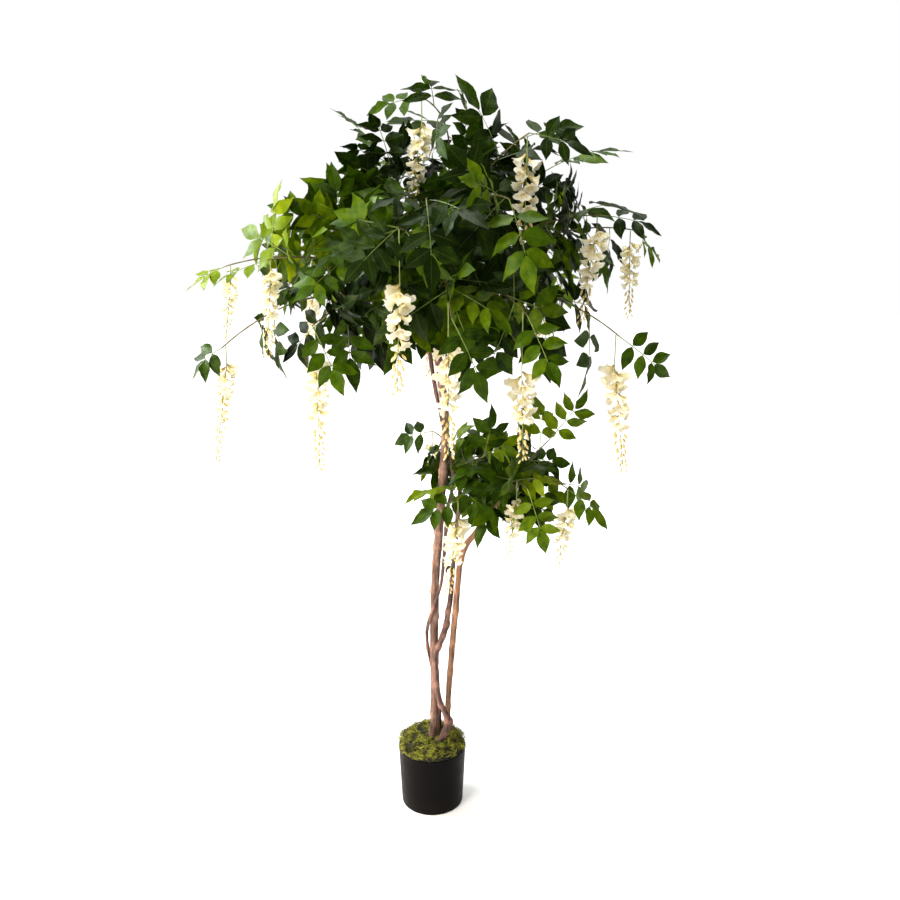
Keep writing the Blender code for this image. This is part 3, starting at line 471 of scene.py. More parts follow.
def bark_material(name, furrow_with_painted_shade, middle, ridge, wear):
    """Liana bark: streaks along the stem, worn patches and small pores, darker in the furrows and paler on
    the ridges after the shade, partly its own colour and partly painted shade in the furrows.
    """
    made, tree, shader = begin_material(name)
    place = add_node(tree, "ShaderNodeTexCoord")
    streak_scale = add_node(
        tree, "ShaderNodeMapping", {"Vector": place.outputs["Object"], "Scale": (260.0, 260.0, 18.0)}
    )
    streaks = add_node(
        tree, "ShaderNodeTexNoise", {"Vector": streak_scale.outputs[0], "Scale": 1.0, "Detail": 6.0}
    )
    patches = add_node(
        tree, "ShaderNodeTexNoise", {"Vector": place.outputs["Object"], "Scale": 26.0, "Detail": 4.0}
    )
    pores = add_node(
        tree, "ShaderNodeTexNoise", {"Vector": place.outputs["Object"], "Scale": 420.0, "Detail": 3.0}
    )
    shade = add_node(tree, "ShaderNodeAttribute", attribute_name="shade")
    ridges = add_node(
        tree, "ShaderNodeMath", {0: shade.outputs["Fac"], 1: streaks.outputs[0]}, operation="ADD"
    )
    # From the furrows' colour with painted shade to the pale ridges.
    level = add_node(tree, "ShaderNodeMapRange", {0: ridges.outputs[0], 1: 0.68, 2: 1.38, 3: 0.0, 4: 1.0})
    colour = add_node(
        tree, "ShaderNodeValToRGB", {0: level.outputs[0]}, stops=[(0.0, furrow_with_painted_shade), (1.0, ridge), (0.5, middle)]
    )
    worn = add_node(tree, "ShaderNodeMapRange", {0: patches.outputs[0], 1: 0.50, 2: 0.72, 3: 0.0, 4: 0.6})
    mixed = add_node(
        tree, "ShaderNodeMix", {0: worn.outputs[0], 6: colour.outputs["Color"], 7: linear(wear)},
        data_type="RGBA",
    )
    spots = add_node(tree, "ShaderNodeMapRange", {0: pores.outputs[0], 1: 0.30, 2: 0.44, 3: 0.55, 4: 1.0})
    spotted = add_node(
        tree, "ShaderNodeMix", {0: 1.0, 6: mixed.outputs[2], 7: spots.outputs[0]},
        data_type="RGBA", blend_type="MULTIPLY",
    )
    depth = add_node(
        tree, "ShaderNodeMath", {0: streaks.outputs[0], 1: pores.outputs[0]}, operation="ADD"
    )
    bump = add_node(tree, "ShaderNodeBump", {"Strength": 0.7, "Distance": 0.0009, "Height": depth.outputs[0]})
    set_inputs(tree, shader, {"Base Color": spotted.outputs[2], "Normal": bump.outputs[0], "Roughness": 0.78})
    return made


trunk_bark = bark_material("smooth_liana_bark", "2e1f1a", "755748", "a08070", "654a3e")
pole_bark = bark_material("pale_pole_bark", "4a3226", "966b4f", "bd9170", "835d45")
vine_bark = bark_material("knotty_vine_bark", "1e1311", "664840", "967060", "523831")
BARKS = {"main_trunk": trunk_bark, "twining_vine": vine_bark, "side_vine": vine_bark, "side_pole": pole_bark}
STEM_SLOTS = {
    "main_trunk": "wood", "twining_vine": "dark_wood", "side_vine": "dark_wood", "side_pole": "wood",
}

for name, points in STEMS.items():
    route = [Vector(p[:3]) for p in points]
    stem = bark_tube(name, route, [p[3] for p in points], BARK_SIDES[name], BARK_RING_GAP)
    if name == "side_vine":
        stub = bark_tube("stub", [Vector(p) for p in STUB_ROUTE], STUB_RADII, STUB_SIDES, STUB_RING_GAP)
        bpy.ops.object.select_all(action="DESELECT")
        stub.select_set(True)
        stem.select_set(True)
        bpy.context.view_layer.objects.active = stem
        bpy.ops.object.join()
    stem.data.materials.append(BARKS[name])
    stand_for(stem, STEM_SLOTS[name], name)


# Moss
# A pad of dyed preserved moss pressed over the cement. It domes above the rim, and loose strands curl up
# from it and hang over the edge of the pot.
MOSS_SEED = 41
MOSS_TUFTS = 940
MOSS_RIM_TUFTS = 70
FOOT_TUFTS = 34
MOSS_RADIUS = 0.0845
MOSS_NECK = 0.160
MOSS_RISE = 0.026
MOSS_BOTTOM = 0.1203
STRAND_RINGS = 6
# The moss is bare where its lumps are lower than this
MOSS_BARE = -0.18


def moss_level(x, y, share):
    """Height of the moss at a place, share running from 0 in the middle to 1 at the rim."""
    dome = MOSS_RISE * (1 - 0.45 * share**3)
    lumps = 0.0045 * math.sin(95 * x + 1.3) * math.cos(88 * y - 0.6) + 0.003 * math.sin(150 * y + 120 * x)
    fine = 0.0030 * noise.noise(Vector((x * 130, y * 130, 2)))
    return MOSS_NECK + (dome + lumps + fine) * (1 - share**4)


def moss_point(share, angle):
    radius = MOSS_RADIUS * math.sin(share * math.pi / 2) ** 0.9
    x, y = radius * math.cos(angle), radius * math.sin(angle)
    return Vector((x, y, moss_level(x, y, share)))


MOSS_SHARES = [1 - 0.04 * step for step in range(1, 25)]
moss_outline = [(pot_outside(MOSS_BOTTOM) - POT_WALL - 0.0008, MOSS_BOTTOM),
                (MOSS_RADIUS, MOSS_NECK - 0.004), (MOSS_RADIUS, MOSS_NECK)]
moss_outline += [
    (MOSS_RADIUS * math.sin(s * math.pi / 2) ** 0.9, MOSS_NECK + 0.001 * (1 - s)) for s in MOSS_SHARES
]
moss = turn_up("moss_pad", moss_outline, 96)
for vertex in moss.data.vertices:
    if vertex.co.z > MOSS_NECK + 0.00001:
        angle = math.atan2(vertex.co.y, vertex.co.x)
        reach = min(1, vertex.co.xy.length / MOSS_RADIUS)
        share = math.asin(reach ** (1 / 0.9)) * 2 / math.pi
        vertex.co = moss_point(share, angle)
# The pad takes a low shade, nearly black in the moss: painted shade between the strands.
add_shade(moss, [0.12] * len(moss.data.vertices))


def rod(name, sides, rings):
    """A closed rod of radius 1 along +Y from 0 to 1: a cylinder whose long edges are subdivided."""
    bpy.ops.object.select_all(action="DESELECT")
    bpy.ops.mesh.primitive_cylinder_add(
        vertices=sides, radius=1, depth=1, location=(0, 0.5, 0), rotation=(-math.pi / 2, 0, 0)
    )
    made = bpy.context.object
    made.name = name
    bpy.ops.object.transform_apply(location=True, rotation=True, scale=True)
    bpy.ops.object.mode_set(mode="EDIT")
    shape = bmesh.from_edit_mesh(made.data)
    bpy.ops.mesh.select_all(action="DESELECT")
    bpy.context.tool_settings.mesh_select_mode = (False, True, False)
    for edge in shape.edges:
        edge.select_set(abs(edge.verts[0].co.y - edge.verts[1].co.y) > 0.5)
    bmesh.update_edit_mesh(made.data)
    if rings > 1:
        bpy.ops.mesh.subdivide(number_cuts=rings - 1)
    bpy.ops.object.mode_set(mode="OBJECT")
    smooth(made, 60)
    return made


def copy_of(template, move, shades):
    """A copy of a template with its own mesh. move turns its points, n by 3, into their places."""
    made = bpy.data.objects.new("copy", template.data.copy())
    bpy.context.scene.collection.objects.link(made)
    points = np.empty(len(made.data.vertices) * 3)
    made.data.vertices.foreach_get("co", points)
    points = points.reshape(-1, 3)
    made.data.vertices.foreach_set("co", np.asarray(move(points), np.float32).ravel())
    add_shade(made, shades(points) if callable(shades) else np.full(len(points), shades))
    return made


def along_route(route, radii):
    """Returns a move that lays a unit rod along a route with a radius at each of its points."""
    route = np.array([tuple(p) for p in route])
    radii = np.asarray(radii)
    tangents = np.gradient(route, axis=0)
    tangents /= np.linalg.norm(tangents, axis=1)[:, None]
    helper = np.array([0.31, 0.17, 0.93]) if abs(tangents[0][2]) < 0.85 else np.array([0.95, 0.2, 0.1])
    sides = np.cross(tangents, helper)
    sides /= np.linalg.norm(sides, axis=1)[:, None]
    lifts = np.cross(sides, tangents)

    def move(points):
        place = points[:, 1] * (len(route) - 1)
        low = np.minimum(place.astype(int), len(route) - 2)
        t = (place - low)[:, None]

        def mix(values):
            return values[low] * (1 - t) + values[low + 1] * t

        return mix(route) + (mix(sides) * points[:, :1] + mix(lifts) * points[:, 2:]) * mix(radii[:, None])

    return move


def gather(name, base, parts):
    """Joins parts into base, as one object with a name."""
    bpy.ops.object.select_all(action="DESELECT")
    for part in [base, *parts]:
        part.select_set(True)
    bpy.context.view_layer.objects.active = base
    bpy.ops.object.join()
    base.name = name
    return base


def clear_of_stems(place):
    """True if a place is 2 mm or more outside each stem, at the height of its nearest listed point."""
    for points in STEMS.values():
        near = min(points, key=lambda p: abs(p[2] - place.z))
        if math.hypot(place.x - near[0], place.y - near[1]) < near[3] + 0.002:
            return False
    return True


def stem_feet(dice):
    """Places on the moss all round each stem, with the way out from the stem."""
    feet = []
    for points in STEMS.values():
        low, high = points[1], points[2]
        for _ in range(FOOT_TUFTS):
            angle = dice.uniform(0, 2 * math.pi)
            outward = Vector((math.cos(angle), math.sin(angle), 0))
            t = (MOSS_NECK + MOSS_RISE - 0.002 - low[2]) / (high[2] - low[2])
            foot = Vector(low[:3]).lerp(Vector(high[:3]), t) + outward * (low[3] + 0.0012)
            feet.append((foot, outward))
    return feet


strand_template = rod("strand", 3, STRAND_RINGS)
dice = random.Random(MOSS_SEED)
strands = []
for foot, outward in stem_feet(dice):
    lift = dice.uniform(0.003, 0.011)
    sway = outward.cross(Vector((0, 0, 1))) * dice.uniform(-0.009, 0.009)
    foot = foot - Vector((0, 0, 0.003))
    route = []
    for t in even(STRAND_RINGS):
        rise = Vector((0, 0, lift * math.sin(2.6 * t)))
        route.append(foot + outward * (0.001 + 0.008 * t * t) + sway * t + rise)
    radii = [0.0008 - 0.0004 * t for t in even(STRAND_RINGS)]
    strands.append(copy_of(strand_template, along_route(route, radii), dice.uniform(0.25, 0.75)))
for number in range(MOSS_TUFTS + MOSS_RIM_TUFTS):
    at_rim = number >= MOSS_TUFTS
    share = dice.uniform(0.72, 0.90) if at_rim else math.sqrt(dice.random()) * 0.80
    angle = dice.uniform(0, 2 * math.pi)
    root = moss_point(share, angle)
    if not clear_of_stems(root):
        continue
    outward = Vector((math.cos(angle), math.sin(angle), 0))
    lump = noise.noise(root * 75) + 0.5 * noise.noise(root * 170)
    if lump < MOSS_BARE and not at_rim:
        continue
    tuft_shade = min(0.9, max(0.1, 0.45 + 0.75 * lump)) + dice.uniform(-0.12, 0.12)
    for _ in range(2 if at_rim else 3):
        heading = dice.uniform(0, 2 * math.pi)
        flat = Vector((math.cos(heading), math.sin(heading), 0))
        if at_rim:
            flat = (outward * 0.7 + flat).normalized()
        reach = dice.uniform(0.006, 0.013) if at_rim else dice.uniform(0.009, 0.021)
        lift = dice.uniform(0.001, 0.006)
        sag = dice.uniform(0.000, 0.006) if at_rim else 0.0
        curl = dice.uniform(-2.2, 2.2)
        sway = flat.cross(Vector((0, 0, 1)))
        route = []
        for t in even(STRAND_RINGS):
            bend = flat * math.cos(curl * t) + sway * math.sin(curl * t)
            rise = lift * math.sin(math.pi * min(1, 1.15 * t)) - sag * t * t
            route.append(root + bend * (reach * t) + Vector((0, 0, rise - 0.0012 * (1 - t))))
        width = dice.uniform(0.0005, 0.0009)
        radii = [width * (1 - 0.5 * t) for t in even(STRAND_RINGS)]
        shade = min(1, max(0, tuft_shade + dice.uniform(-0.18, 0.18)))
        # Each strand is darker at its root and lighter at its tip: painted shade where it meets the pad.
        strands.append(copy_of(
            strand_template, along_route(route, radii), lambda p, s=shade: s * (0.55 + 0.45 * p[:, 1])
        ))
gather("moss_pad", moss, strands)
bpy.data.objects.remove(strand_template)

def patchy_ramp(tree, place, patches, levels, stops):
    """The colour of a ramp read at the shade, shifted in patches. patches is a noise's scale and detail."""
    scale, detail = patches
    noise_node = add_node(
        tree, "ShaderNodeTexNoise", {"Vector": place.outputs["Object"], "Scale": scale, "Detail": detail}
    )
    shift = add_node(tree, "ShaderNodeMapRange", {0: noise_node.outputs[0], **dict(enumerate(levels, 1))})
    shade = add_node(tree, "ShaderNodeAttribute", attribute_name="shade")
    level = add_node(
        tree, "ShaderNodeMath", {0: shade.outputs["Fac"], 1: shift.outputs[0]},
        operation="ADD", use_clamp=True,
    )
    return add_node(tree, "ShaderNodeValToRGB", {0: level.outputs[0]}, stops=stops).outputs["Color"]


# Preserved moss: matt and yellow-green. The pad between the strands is nearly black and each strand is darker
# towards its root: painted shade.
moss_fibre, tree, shader = begin_material("dyed_preserved_moss")
place = add_node(tree, "ShaderNodeTexCoord")
MOSS_GREENS = [(0.0, "1a1907"), (1.0, "ccce5a"), (0.2, "484810"), (0.5, "888c22"), (0.75, "aeb23c")]
green = patchy_ramp(tree, place, (48.0, 4.0), (0.34, 0.66, -0.42, 0.26), MOSS_GREENS)
set_inputs(tree, shader, {"Base Color": green, "Roughness": 0.92})
moss.data.materials.append(moss_fibre)
stand_for(moss, "moss", "moss")


# Sprays of leaves
# A spray is a plastic-covered wire twig pushed into a hole drilled in a stem. It carries compound leaves,
# each a thin wire rib with pressed and printed polyester leaflets glued on in pairs, and one more at its
# end.
SOCKET_DEPTH = 0.005
TWIG_ROOT_RADIUS = 0.0024
TWIG_TIP_RADIUS = 0.0014
TWIG_RINGS = 22
LEAF_LENGTH = 0.190
LEAF_LENGTH_LOWER = 0.155
LEAF_TRIES = 160
TREE_HEIGHT = 1.800
SEED = 20000
SEVEN_FROM = 0.15
SEVEN_BEYOND = 0.12
SAME_PLACE = 0.0004
UP = Vector((0, 0, 1))
UPPER_CENTRE = Vector((0.02, 0.00, 1.34))
LOWER_CENTRE = Vector((0.17, 0.01, 0.86))
FRONT_AND_BACK = Vector((1.0, 2.2, 1.0))
# Rings of each stem in the frame, which set where a twig meets the wood
STEM_RINGS = {"main_trunk": 27, "twining_vine": 40, "side_vine": 34, "side_pole": 18}

# The twigs of each stem: height on the stem, tip, bow of the middle, end of the last leaf, the way that
# leaf looks, and the number of leaves
TWIGS = {
    "twining_vine": {
        "left_low": (1.265, (-0.47, -0.07, 1.208), (0, 0, 0.085), (-0.545, -0.09, 1.17), (0.3, -0.5, 0.9), 6),
        "far_left": (1.318, (-0.458, -0.03, 1.388), (0, 0, 0.05), (-0.54, -0.05, 1.36), (0, -0.3, 1), 4),
        "left_middle": (1.3, (-0.35, -0.11, 1.405), (0, 0, 0.04), (-0.475, -0.13, 1.372), (0, -0.4, 1), 6),
        "left_upper": (1.345, (-0.215, -0.05, 1.47), (0, 0, 0.02), (-0.355, -0.06, 1.531), (0.2, -1, 0.3), 6),
        "left_underside": (
            1.235, (-0.245, -0.19, 1.272), (0, 0, 0.06), (-0.175, -0.27, 1.15), (0.1, -1, 0.2), 6,
        ),
    },
    "main_trunk": {
        "front_left": (1.322, (-0.055, -0.3, 1.475), (0, 0, 0.04), (-0.15, -0.385, 1.395), (0, -1, 0.6), 6),
        "front_high": (1.403, (0, -0.28, 1.53), (0, 0, 0.04), (0.022, -0.4, 1.385), (0.1, -1, 0.5), 5),
        "front_middle": (1.29, (0.05, -0.31, 1.3), (0, 0, 0.08), (0.133, -0.36, 1.15), (0, -1, 0.2), 6),
        "front_right": (1.248, (0.205, -0.245, 1.3), (0, 0, 0.07), (0.272, -0.3, 1.162), (0, -1, 0.2), 6),
        "left_front": (
            1.374, (-0.16, -0.185, 1.42), (0, 0, 0.06), (-0.278, -0.26, 1.332), (-0.2, -1, 0.5), 6,
        ),
        "top_front": (1.416, (0.165, -0.24, 1.53), (0, 0, 0.05), (0.215, -0.355, 1.38), (0.1, -1, 0.4), 6),
        "top_right": (1.394, (0.215, -0.09, 1.668), (0, 0, 0.04), (0.348, -0.12, 1.645), (0, -0.8, 0.7), 7),
        "right_low": (1.262, (0.42, -0.12, 1.24), (0, 0, 0.08), (0.55, -0.135, 1.15), (0.1, -1, 0.4), 6),
        "right_middle": (1.334, (0.375, -0.075, 1.5), (0, 0, 0.04), (0.515, -0.1, 1.485), (0, -0.6, 0.9), 6),
        "right_back": (1.302, (0.48, 0.08, 1.465), (0, 0, 0.06), (0.57, 0.13, 1.4), (0, -0.7, 0.8), 7),
        "right_upper": (1.364, (0.27, 0.11, 1.6), (0, 0, 0.01), (0.45, 0.13, 1.704), (-0.5, -0.2, 0.87), 7),
        "top_arch": (1.439, (-0.02, 0.01, 1.752), (0.05, 0.045, 0.06), (-0.135, 0, 1.735), (0, -0.5, 1), 5),
        "top_spike": (
            1.428, (0.078, 0.045, 1.64), (0.01, -0.015, -0.01), (0.096, 0.065, 1.797), (1, -0.3, 0), 7,
        ),
        "top_left": (1.419, (-0.1, 0.09, 1.625), (0, 0, 0), (-0.201, 0.12, 1.765), (0.8, -0.2, 0.57), 7),
        "upper_left": (1.384, (-0.14, 0.03, 1.57), (0, 0, 0.01), (-0.29, 0.04, 1.64), (0.1, -1, 0.5), 7),
        "inner_front": (1.354, (0.1, -0.16, 1.38), (0, 0, 0.06), (0.15, -0.25, 1.26), (0.2, -1, 0.3), 5),
        "back_left": (1.344, (-0.31, 0.16, 1.385), (0, 0, 0.06), (-0.4, 0.26, 1.29), (-0.3, 1, 0.4), 6),
        "back_middle": (1.28, (-0.01, 0.32, 1.38), (0, 0, 0.08), (-0.02, 0.44, 1.26), (0, 1, 0.5), 6),
        "back_high": (1.408, (0.09, 0.26, 1.53), (0, 0, 0.05), (0.13, 0.4, 1.45), (0, 1, 0.8), 6),
        "back_right": (1.312, (0.29, 0.26, 1.4), (0, 0, 0.06), (0.38, 0.36, 1.28), (0.2, 1, 0.4), 6),
        "back_low": (1.236, (-0.15, 0.19, 1.27), (0, 0, 0.06), (-0.21, 0.29, 1.15), (-0.2, 1, 0.3), 5),
    },
    "side_vine": {
        "lower_left": (0.87, (0, 0.12, 0.97), (0, 0, 0.03), (-0.1, 0.14, 0.95), (0, -0.7, 0.7), 2),
        "lower_top": (0.89, (0.125, -0.045, 0.945), (0, 0, 0.01), (0.155, -0.08, 1.067), (0.2, -1, 0), 4),
        "lower_front": (0.845, (0.065, -0.1, 0.855), (0, 0, 0.03), (-0.03, -0.13, 0.838), (0, -0.9, 0.7), 2),
    },
    "side_pole": {
        "lower_far": (0.815, (0.28, -0.02, 0.98), (0, 0, 0.01), (0.374, -0.04, 1.101), (0, -1, 0.1), 5),
        "lower_right": (0.805, (0.325, -0.1, 0.88), (0, 0, 0.05), (0.415, -0.13, 0.82), (0, -0.5, 0.9), 5),
        "lower_hanging": (0.78, (0.225, -0.12, 0.89), (0, 0, 0.05), (0.272, -0.17, 0.75), (0, -1, 0.2), 5),
        "lower_back": (0.795, (0.21, 0.14, 0.93), (0, 0, 0.04), (0.28, 0.24, 0.86), (0.3, 1, 0.4), 5),
    },
}

# A compound leaf: where its pairs sit on the rib, their angle to it in degrees, and a leaflet's length,
# all as shares of the leaf
FIVE_LEAFLETS = (((0.27, 63), (0.50, 52)), 0.41)
SEVEN_LEAFLETS = (((0.22, 66), (0.41, 59), (0.58, 50)), 0.35)


class Spray:
    """One twig of the frame: the stem it grows from, its line and the leaf at its end."""

    def __init__(self, name, stem, height, tip, bow, end, face, leaves):
        self.name, self.stem, self.tip, self.bow = name, stem, Vector(tip), Vector(bow)
        self.end, self.face, self.leaves = Vector(end), Vector(face), leaves
        self.lower = name.startswith("lower")
        self.root, self.wood = stem_at(stem, height)

    def point(self, t):
        return self.root.lerp(self.tip, t) + self.bow * (4 * t * (1 - t))

    def heading(self, t):
        return ((self.tip - self.root) + self.bow * (4 * (1 - 2 * t))).normalized()

    def radius(self, t):
        return TWIG_ROOT_RADIUS + (TWIG_TIP_RADIUS - TWIG_ROOT_RADIUS) * t

    def start(self):
        """The share of the twig at the bottom of its socket."""
        t = 0
        while (self.point(t) - self.root).length < self.wood - SOCKET_DEPTH:
            t += 0.001
        return t


def stem_at(name, height):
    """Centre and radius of a stem of the frame at a height."""
    rings = smooth_path([p[:3] for p in STEMS[name]], STEM_RINGS[name])
    radii = smooth_path([(p[3], 0, 0) for p in STEMS[name]], STEM_RINGS[name])
    for low, high, low_radius, high_radius in zip(rings, rings[1:], radii, radii[1:]):
        if low.z <= height <= high.z:
            t = (height - low.z) / (high.z - low.z)
            return low.lerp(high, t), low_radius.x + (high_radius.x - low_radius.x) * t
    raise ValueError(f"{name} does not reach {height}")


SPRAYS = {name: Spray(name, stem, *row) for stem, rows in TWIGS.items() for name, row in rows.items()}


def leaf_matrix(base, direction, face):
    """Places a leaf whose base is at a point, with its own +Y along direction and its face turned to face."""
    along = direction.normalized()
    normal = (face - along * face.dot(along)).normalized()
    across = along.cross(normal)
    return Matrix.Translation(base) @ Matrix((across, along, normal)).transposed().to_4x4()


def try_leaf(spray, number, dice):
    """One way to grow a leaf on a twig: base, direction, face and length. The last is the end leaf."""
    last = spray.leaves - 1
    t = 1.0
    if number < last:
        t = min(0.97, 0.24 + 0.76 * number / last + dice.uniform(-0.06, 0.06))
    base = spray.point(t)
    centre = LOWER_CENTRE if spray.lower else UPPER_CENTRE
    outward = ((base - centre) * FRONT_AND_BACK).normalized()
    jitter = Vector([dice.uniform(-0.45, 0.45) for _ in range(3)])
    if number == last:
        direction = spray.end - base
        return base, direction, spray.face + jitter * 0.5, direction.length
    face = outward + UP * 0.3 + jitter * (1.6 if outward.z > 0.6 else 1)
    forward = spray.heading(t)
    sideways = forward.cross(UP).normalized()
    lift = sideways.cross(forward)
    around = math.pi * (number % 2) + dice.uniform(-1.1, 1.1)
    spread = math.radians(dice.uniform(35, 80))
    direction = forward * math.cos(spread)
    direction += (sideways * math.cos(around) + lift * math.sin(around)) * math.sin(spread)
    direction -= UP * dice.uniform(0.15, 0.95) * min(1, 1.1 - outward.z)
    full = LEAF_LENGTH_LOWER if spray.lower else LEAF_LENGTH
    return base, direction, face, full * dice.uniform(0.80, 1.05)


def frame_leaves(spray, dice):
    """The leaves that the frame's spray has. A try counts as kept if its tip is among the node's points."""
    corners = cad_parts["spray_" + spray.name].data.vertices
    known = KDTree(len(corners))
    for corner in corners:
        known.insert(corner.co, corner.index)
    known.balance()
    grown = []
    for number in reversed(range(spray.leaves)):
        for _ in range(LEAF_TRIES):
            base, direction, face, length = try_leaf(spray, number, dice)
            droop = dice.uniform(0.10, 0.30)
            at_end = number == spray.leaves - 1
            seven = (at_end and length > SEVEN_FROM) or abs(base.y) > SEVEN_BEYOND
            matrix = leaf_matrix(base, direction, face)
            tip = matrix @ Vector((0, length, -droop * length))
            if known.find(tip)[2] < SAME_PLACE:
                grown.append((matrix, SEVEN_LEAFLETS if seven else FIVE_LEAFLETS, length, droop))
                break
    return grown


# Leaflets are cut from one net each: a stalk, a widest point before the middle, a drawn-out tip and wavy
# edges.
LEAFLET_KINDS = 9
LEAFLET_SEED = 7
LEAFLET_LENGTH = 0.084
LEAFLET_HALF_WIDTH = 0.0225
LEAFLET_THICKNESS = 0.0005
LEAFLET_STALK = 0.045
LEAFLET_ACROSS = [0, 0.26, 0.5, 0.74, 1]
LEAFLET_ALONG = [0, 0.045, 0.09, 0.18, 0.31, 0.45, 0.59, 0.72, 0.84, 0.93, 1]
SMALLEST_LEAFLET = 0.055
# The end leaflet's size against the others
END_LEAFLET = 1.08
SPREAD = 11.0
RIB_RADIUS = 0.0012
# How far the rib runs under the end leaflet, as a share of the leaf, and how low it lies
RIB_LAP = 0.02
RIB_DROP = 0.0006
VEINS = 9.0


def let_light_through(tree, shader, share, colour):
    """Mixes a share of light that comes through the cloth into its surface."""
    through = add_node(tree, "ShaderNodeBsdfTranslucent", {"Color": colour})
    mixed = add_node(tree, "ShaderNodeMixShader", {0: share, 1: shader.outputs[0], 2: through.outputs[0]})
    tree.links.new(mixed.outputs[0], tree.nodes["Material Output"].inputs["Surface"])


def leaf_fabric(name, greens, vein, vein_share, roughness, glow):
    """Printed polyester: a green for each leaf, a pale rib with slanting veins, and light through it."""
    made, tree, shader = begin_material(name)
    uv = add_node(tree, "ShaderNodeUVMap", uv_map="UVMap")
    parts = add_node(tree, "ShaderNodeSeparateXYZ", {0: uv.outputs[0]})
    off_rib = add_node(
        tree, "ShaderNodeMath", {0: parts.outputs["X"], 1: 2.0, 2: -1.0}, operation="MULTIPLY_ADD"
    )
    away = add_node(tree, "ShaderNodeMath", {0: off_rib.outputs[0]}, operation="ABSOLUTE")
    slant = add_node(
        tree, "ShaderNodeMath", {0: away.outputs[0], 1: -0.17, 2: parts.outputs["Y"]},
        operation="MULTIPLY_ADD",
    )
    count = add_node(tree, "ShaderNodeMath", {0: slant.outputs[0], 1: VEINS}, operation="MULTIPLY")
    saw = add_node(tree, "ShaderNodeMath", {0: count.outputs[0], 1: 0.5}, operation="PINGPONG")
    side_veins = add_node(tree, "ShaderNodeMapRange", {0: saw.outputs[0], 1: 0.09, 2: 0.0, 3: 0.0, 4: 0.55})
    rib = add_node(tree, "ShaderNodeMapRange", {0: away.outputs[0], 1: 0.085, 2: 0.03, 3: 0.0, 4: 1.0})
    veins = add_node(
        tree, "ShaderNodeMath", {0: side_veins.outputs[0], 1: rib.outputs[0]}, operation="MAXIMUM"
    )
    place = add_node(tree, "ShaderNodeTexCoord")
    green = patchy_ramp(tree, place, (55.0, 3.0), (0.3, 0.7, -0.09, 0.09), greens)
    vein_mix = add_node(tree, "ShaderNodeMath", {0: veins.outputs[0], 1: vein_share}, operation="MULTIPLY")
    printed = add_node(
        tree, "ShaderNodeMix", {0: vein_mix.outputs[0], 6: green, 7: linear(vein)}, data_type="RGBA"
    )
    weave = add_node(
        tree, "ShaderNodeTexNoise", {"Vector": place.outputs["Object"], "Scale": 1600.0, "Detail": 1.0}
    )
    relief = add_node(
        tree, "ShaderNodeMath", {0: veins.outputs[0], 1: -1.0, 2: weave.outputs[0]}, operation="MULTIPLY_ADD"
    )
    bump = add_node(
        tree, "ShaderNodeBump", {"Strength": 0.35, "Distance": 0.0004, "Height": relief.outputs[0]}
    )
    set_inputs(tree, shader, {
        "Base Color": printed.outputs[2], "Normal": bump.outputs[0], "Roughness": roughness,
        "Specular IOR Level": 0.22, "Specular Tint": linear("b4d49a"),
    })
    lit_through = add_node(
        tree, "ShaderNodeHueSaturation",
        {"Hue": 0.485, "Saturation": 1.25, "Value": 1.7, "Color": printed.outputs[2]},
    )
    let_light_through(tree, shader, glow, lit_through.outputs[0])
    return made


LEAF_GREENS = [(0.0, "0e140a"), (1.0, "b2bc20"), (0.25, "20330a"), (0.5, "466408"), (0.78, "839a0e")]
UNDER_GREENS = [(0.0, "2c3d1c"), (1.0, "a8b658"), (0.3, "465c28"), (0.55, "627c36"), (0.8, "869c44")]
leaf_face = leaf_fabric("printed_polyester_leaf", LEAF_GREENS, "86984a", 0.15, 0.28, 0.38)
leaf_back = leaf_fabric("printed_leaf_underside", UNDER_GREENS, "9caa70", 0.25, 0.60, 0.38)

# Thin green coat on the ribs of the leaves, and the browner cover of the twigs
rib_coat, tree, shader = begin_material("green_polyethylene_coat")
shade = add_node(tree, "ShaderNodeAttribute", attribute_name="shade")
green = add_node(
    tree, "ShaderNodeValToRGB", {0: shade.outputs["Fac"]}, stops=[(0.0, "3c5216"), (1.0, "8aa040")]
)
set_inputs(tree, shader, {"Base Color": green.outputs["Color"], "Roughness": 0.5})

twig_coat, tree, shader = begin_material("paper_wrapped_twig")
place = add_node(tree, "ShaderNodeTexCoord")
wraps = add_node(
    tree, "ShaderNodeTexNoise", {"Vector": place.outputs["Object"], "Scale": 240.0, "Detail": 3.0}
)
brown = add_node(
    tree, "ShaderNodeValToRGB", {0: wraps.outputs[0]}, stops=[(0.35, "4a4420"), (0.65, "6e6234")]
)
bump = add_node(tree, "ShaderNodeBump", {"Strength": 0.4, "Distance": 0.0004, "Height": wraps.outputs[0]})
set_inputs(tree, shader, {"Base Color": brown.outputs["Color"], "Normal": bump.outputs[0], "Roughness": 0.75})


def solidify(piece, thickness, material_step):
    """Gives a net its thickness. The far side takes the next material."""
    bpy.context.view_layer.objects.active = piece
    sheet = piece.modifiers.new("thickness", "SOLIDIFY")
    sheet.thickness = thickness
    sheet.offset = -1
    sheet.material_offset = material_step
    bpy.ops.object.modifier_apply(modifier=sheet.name)


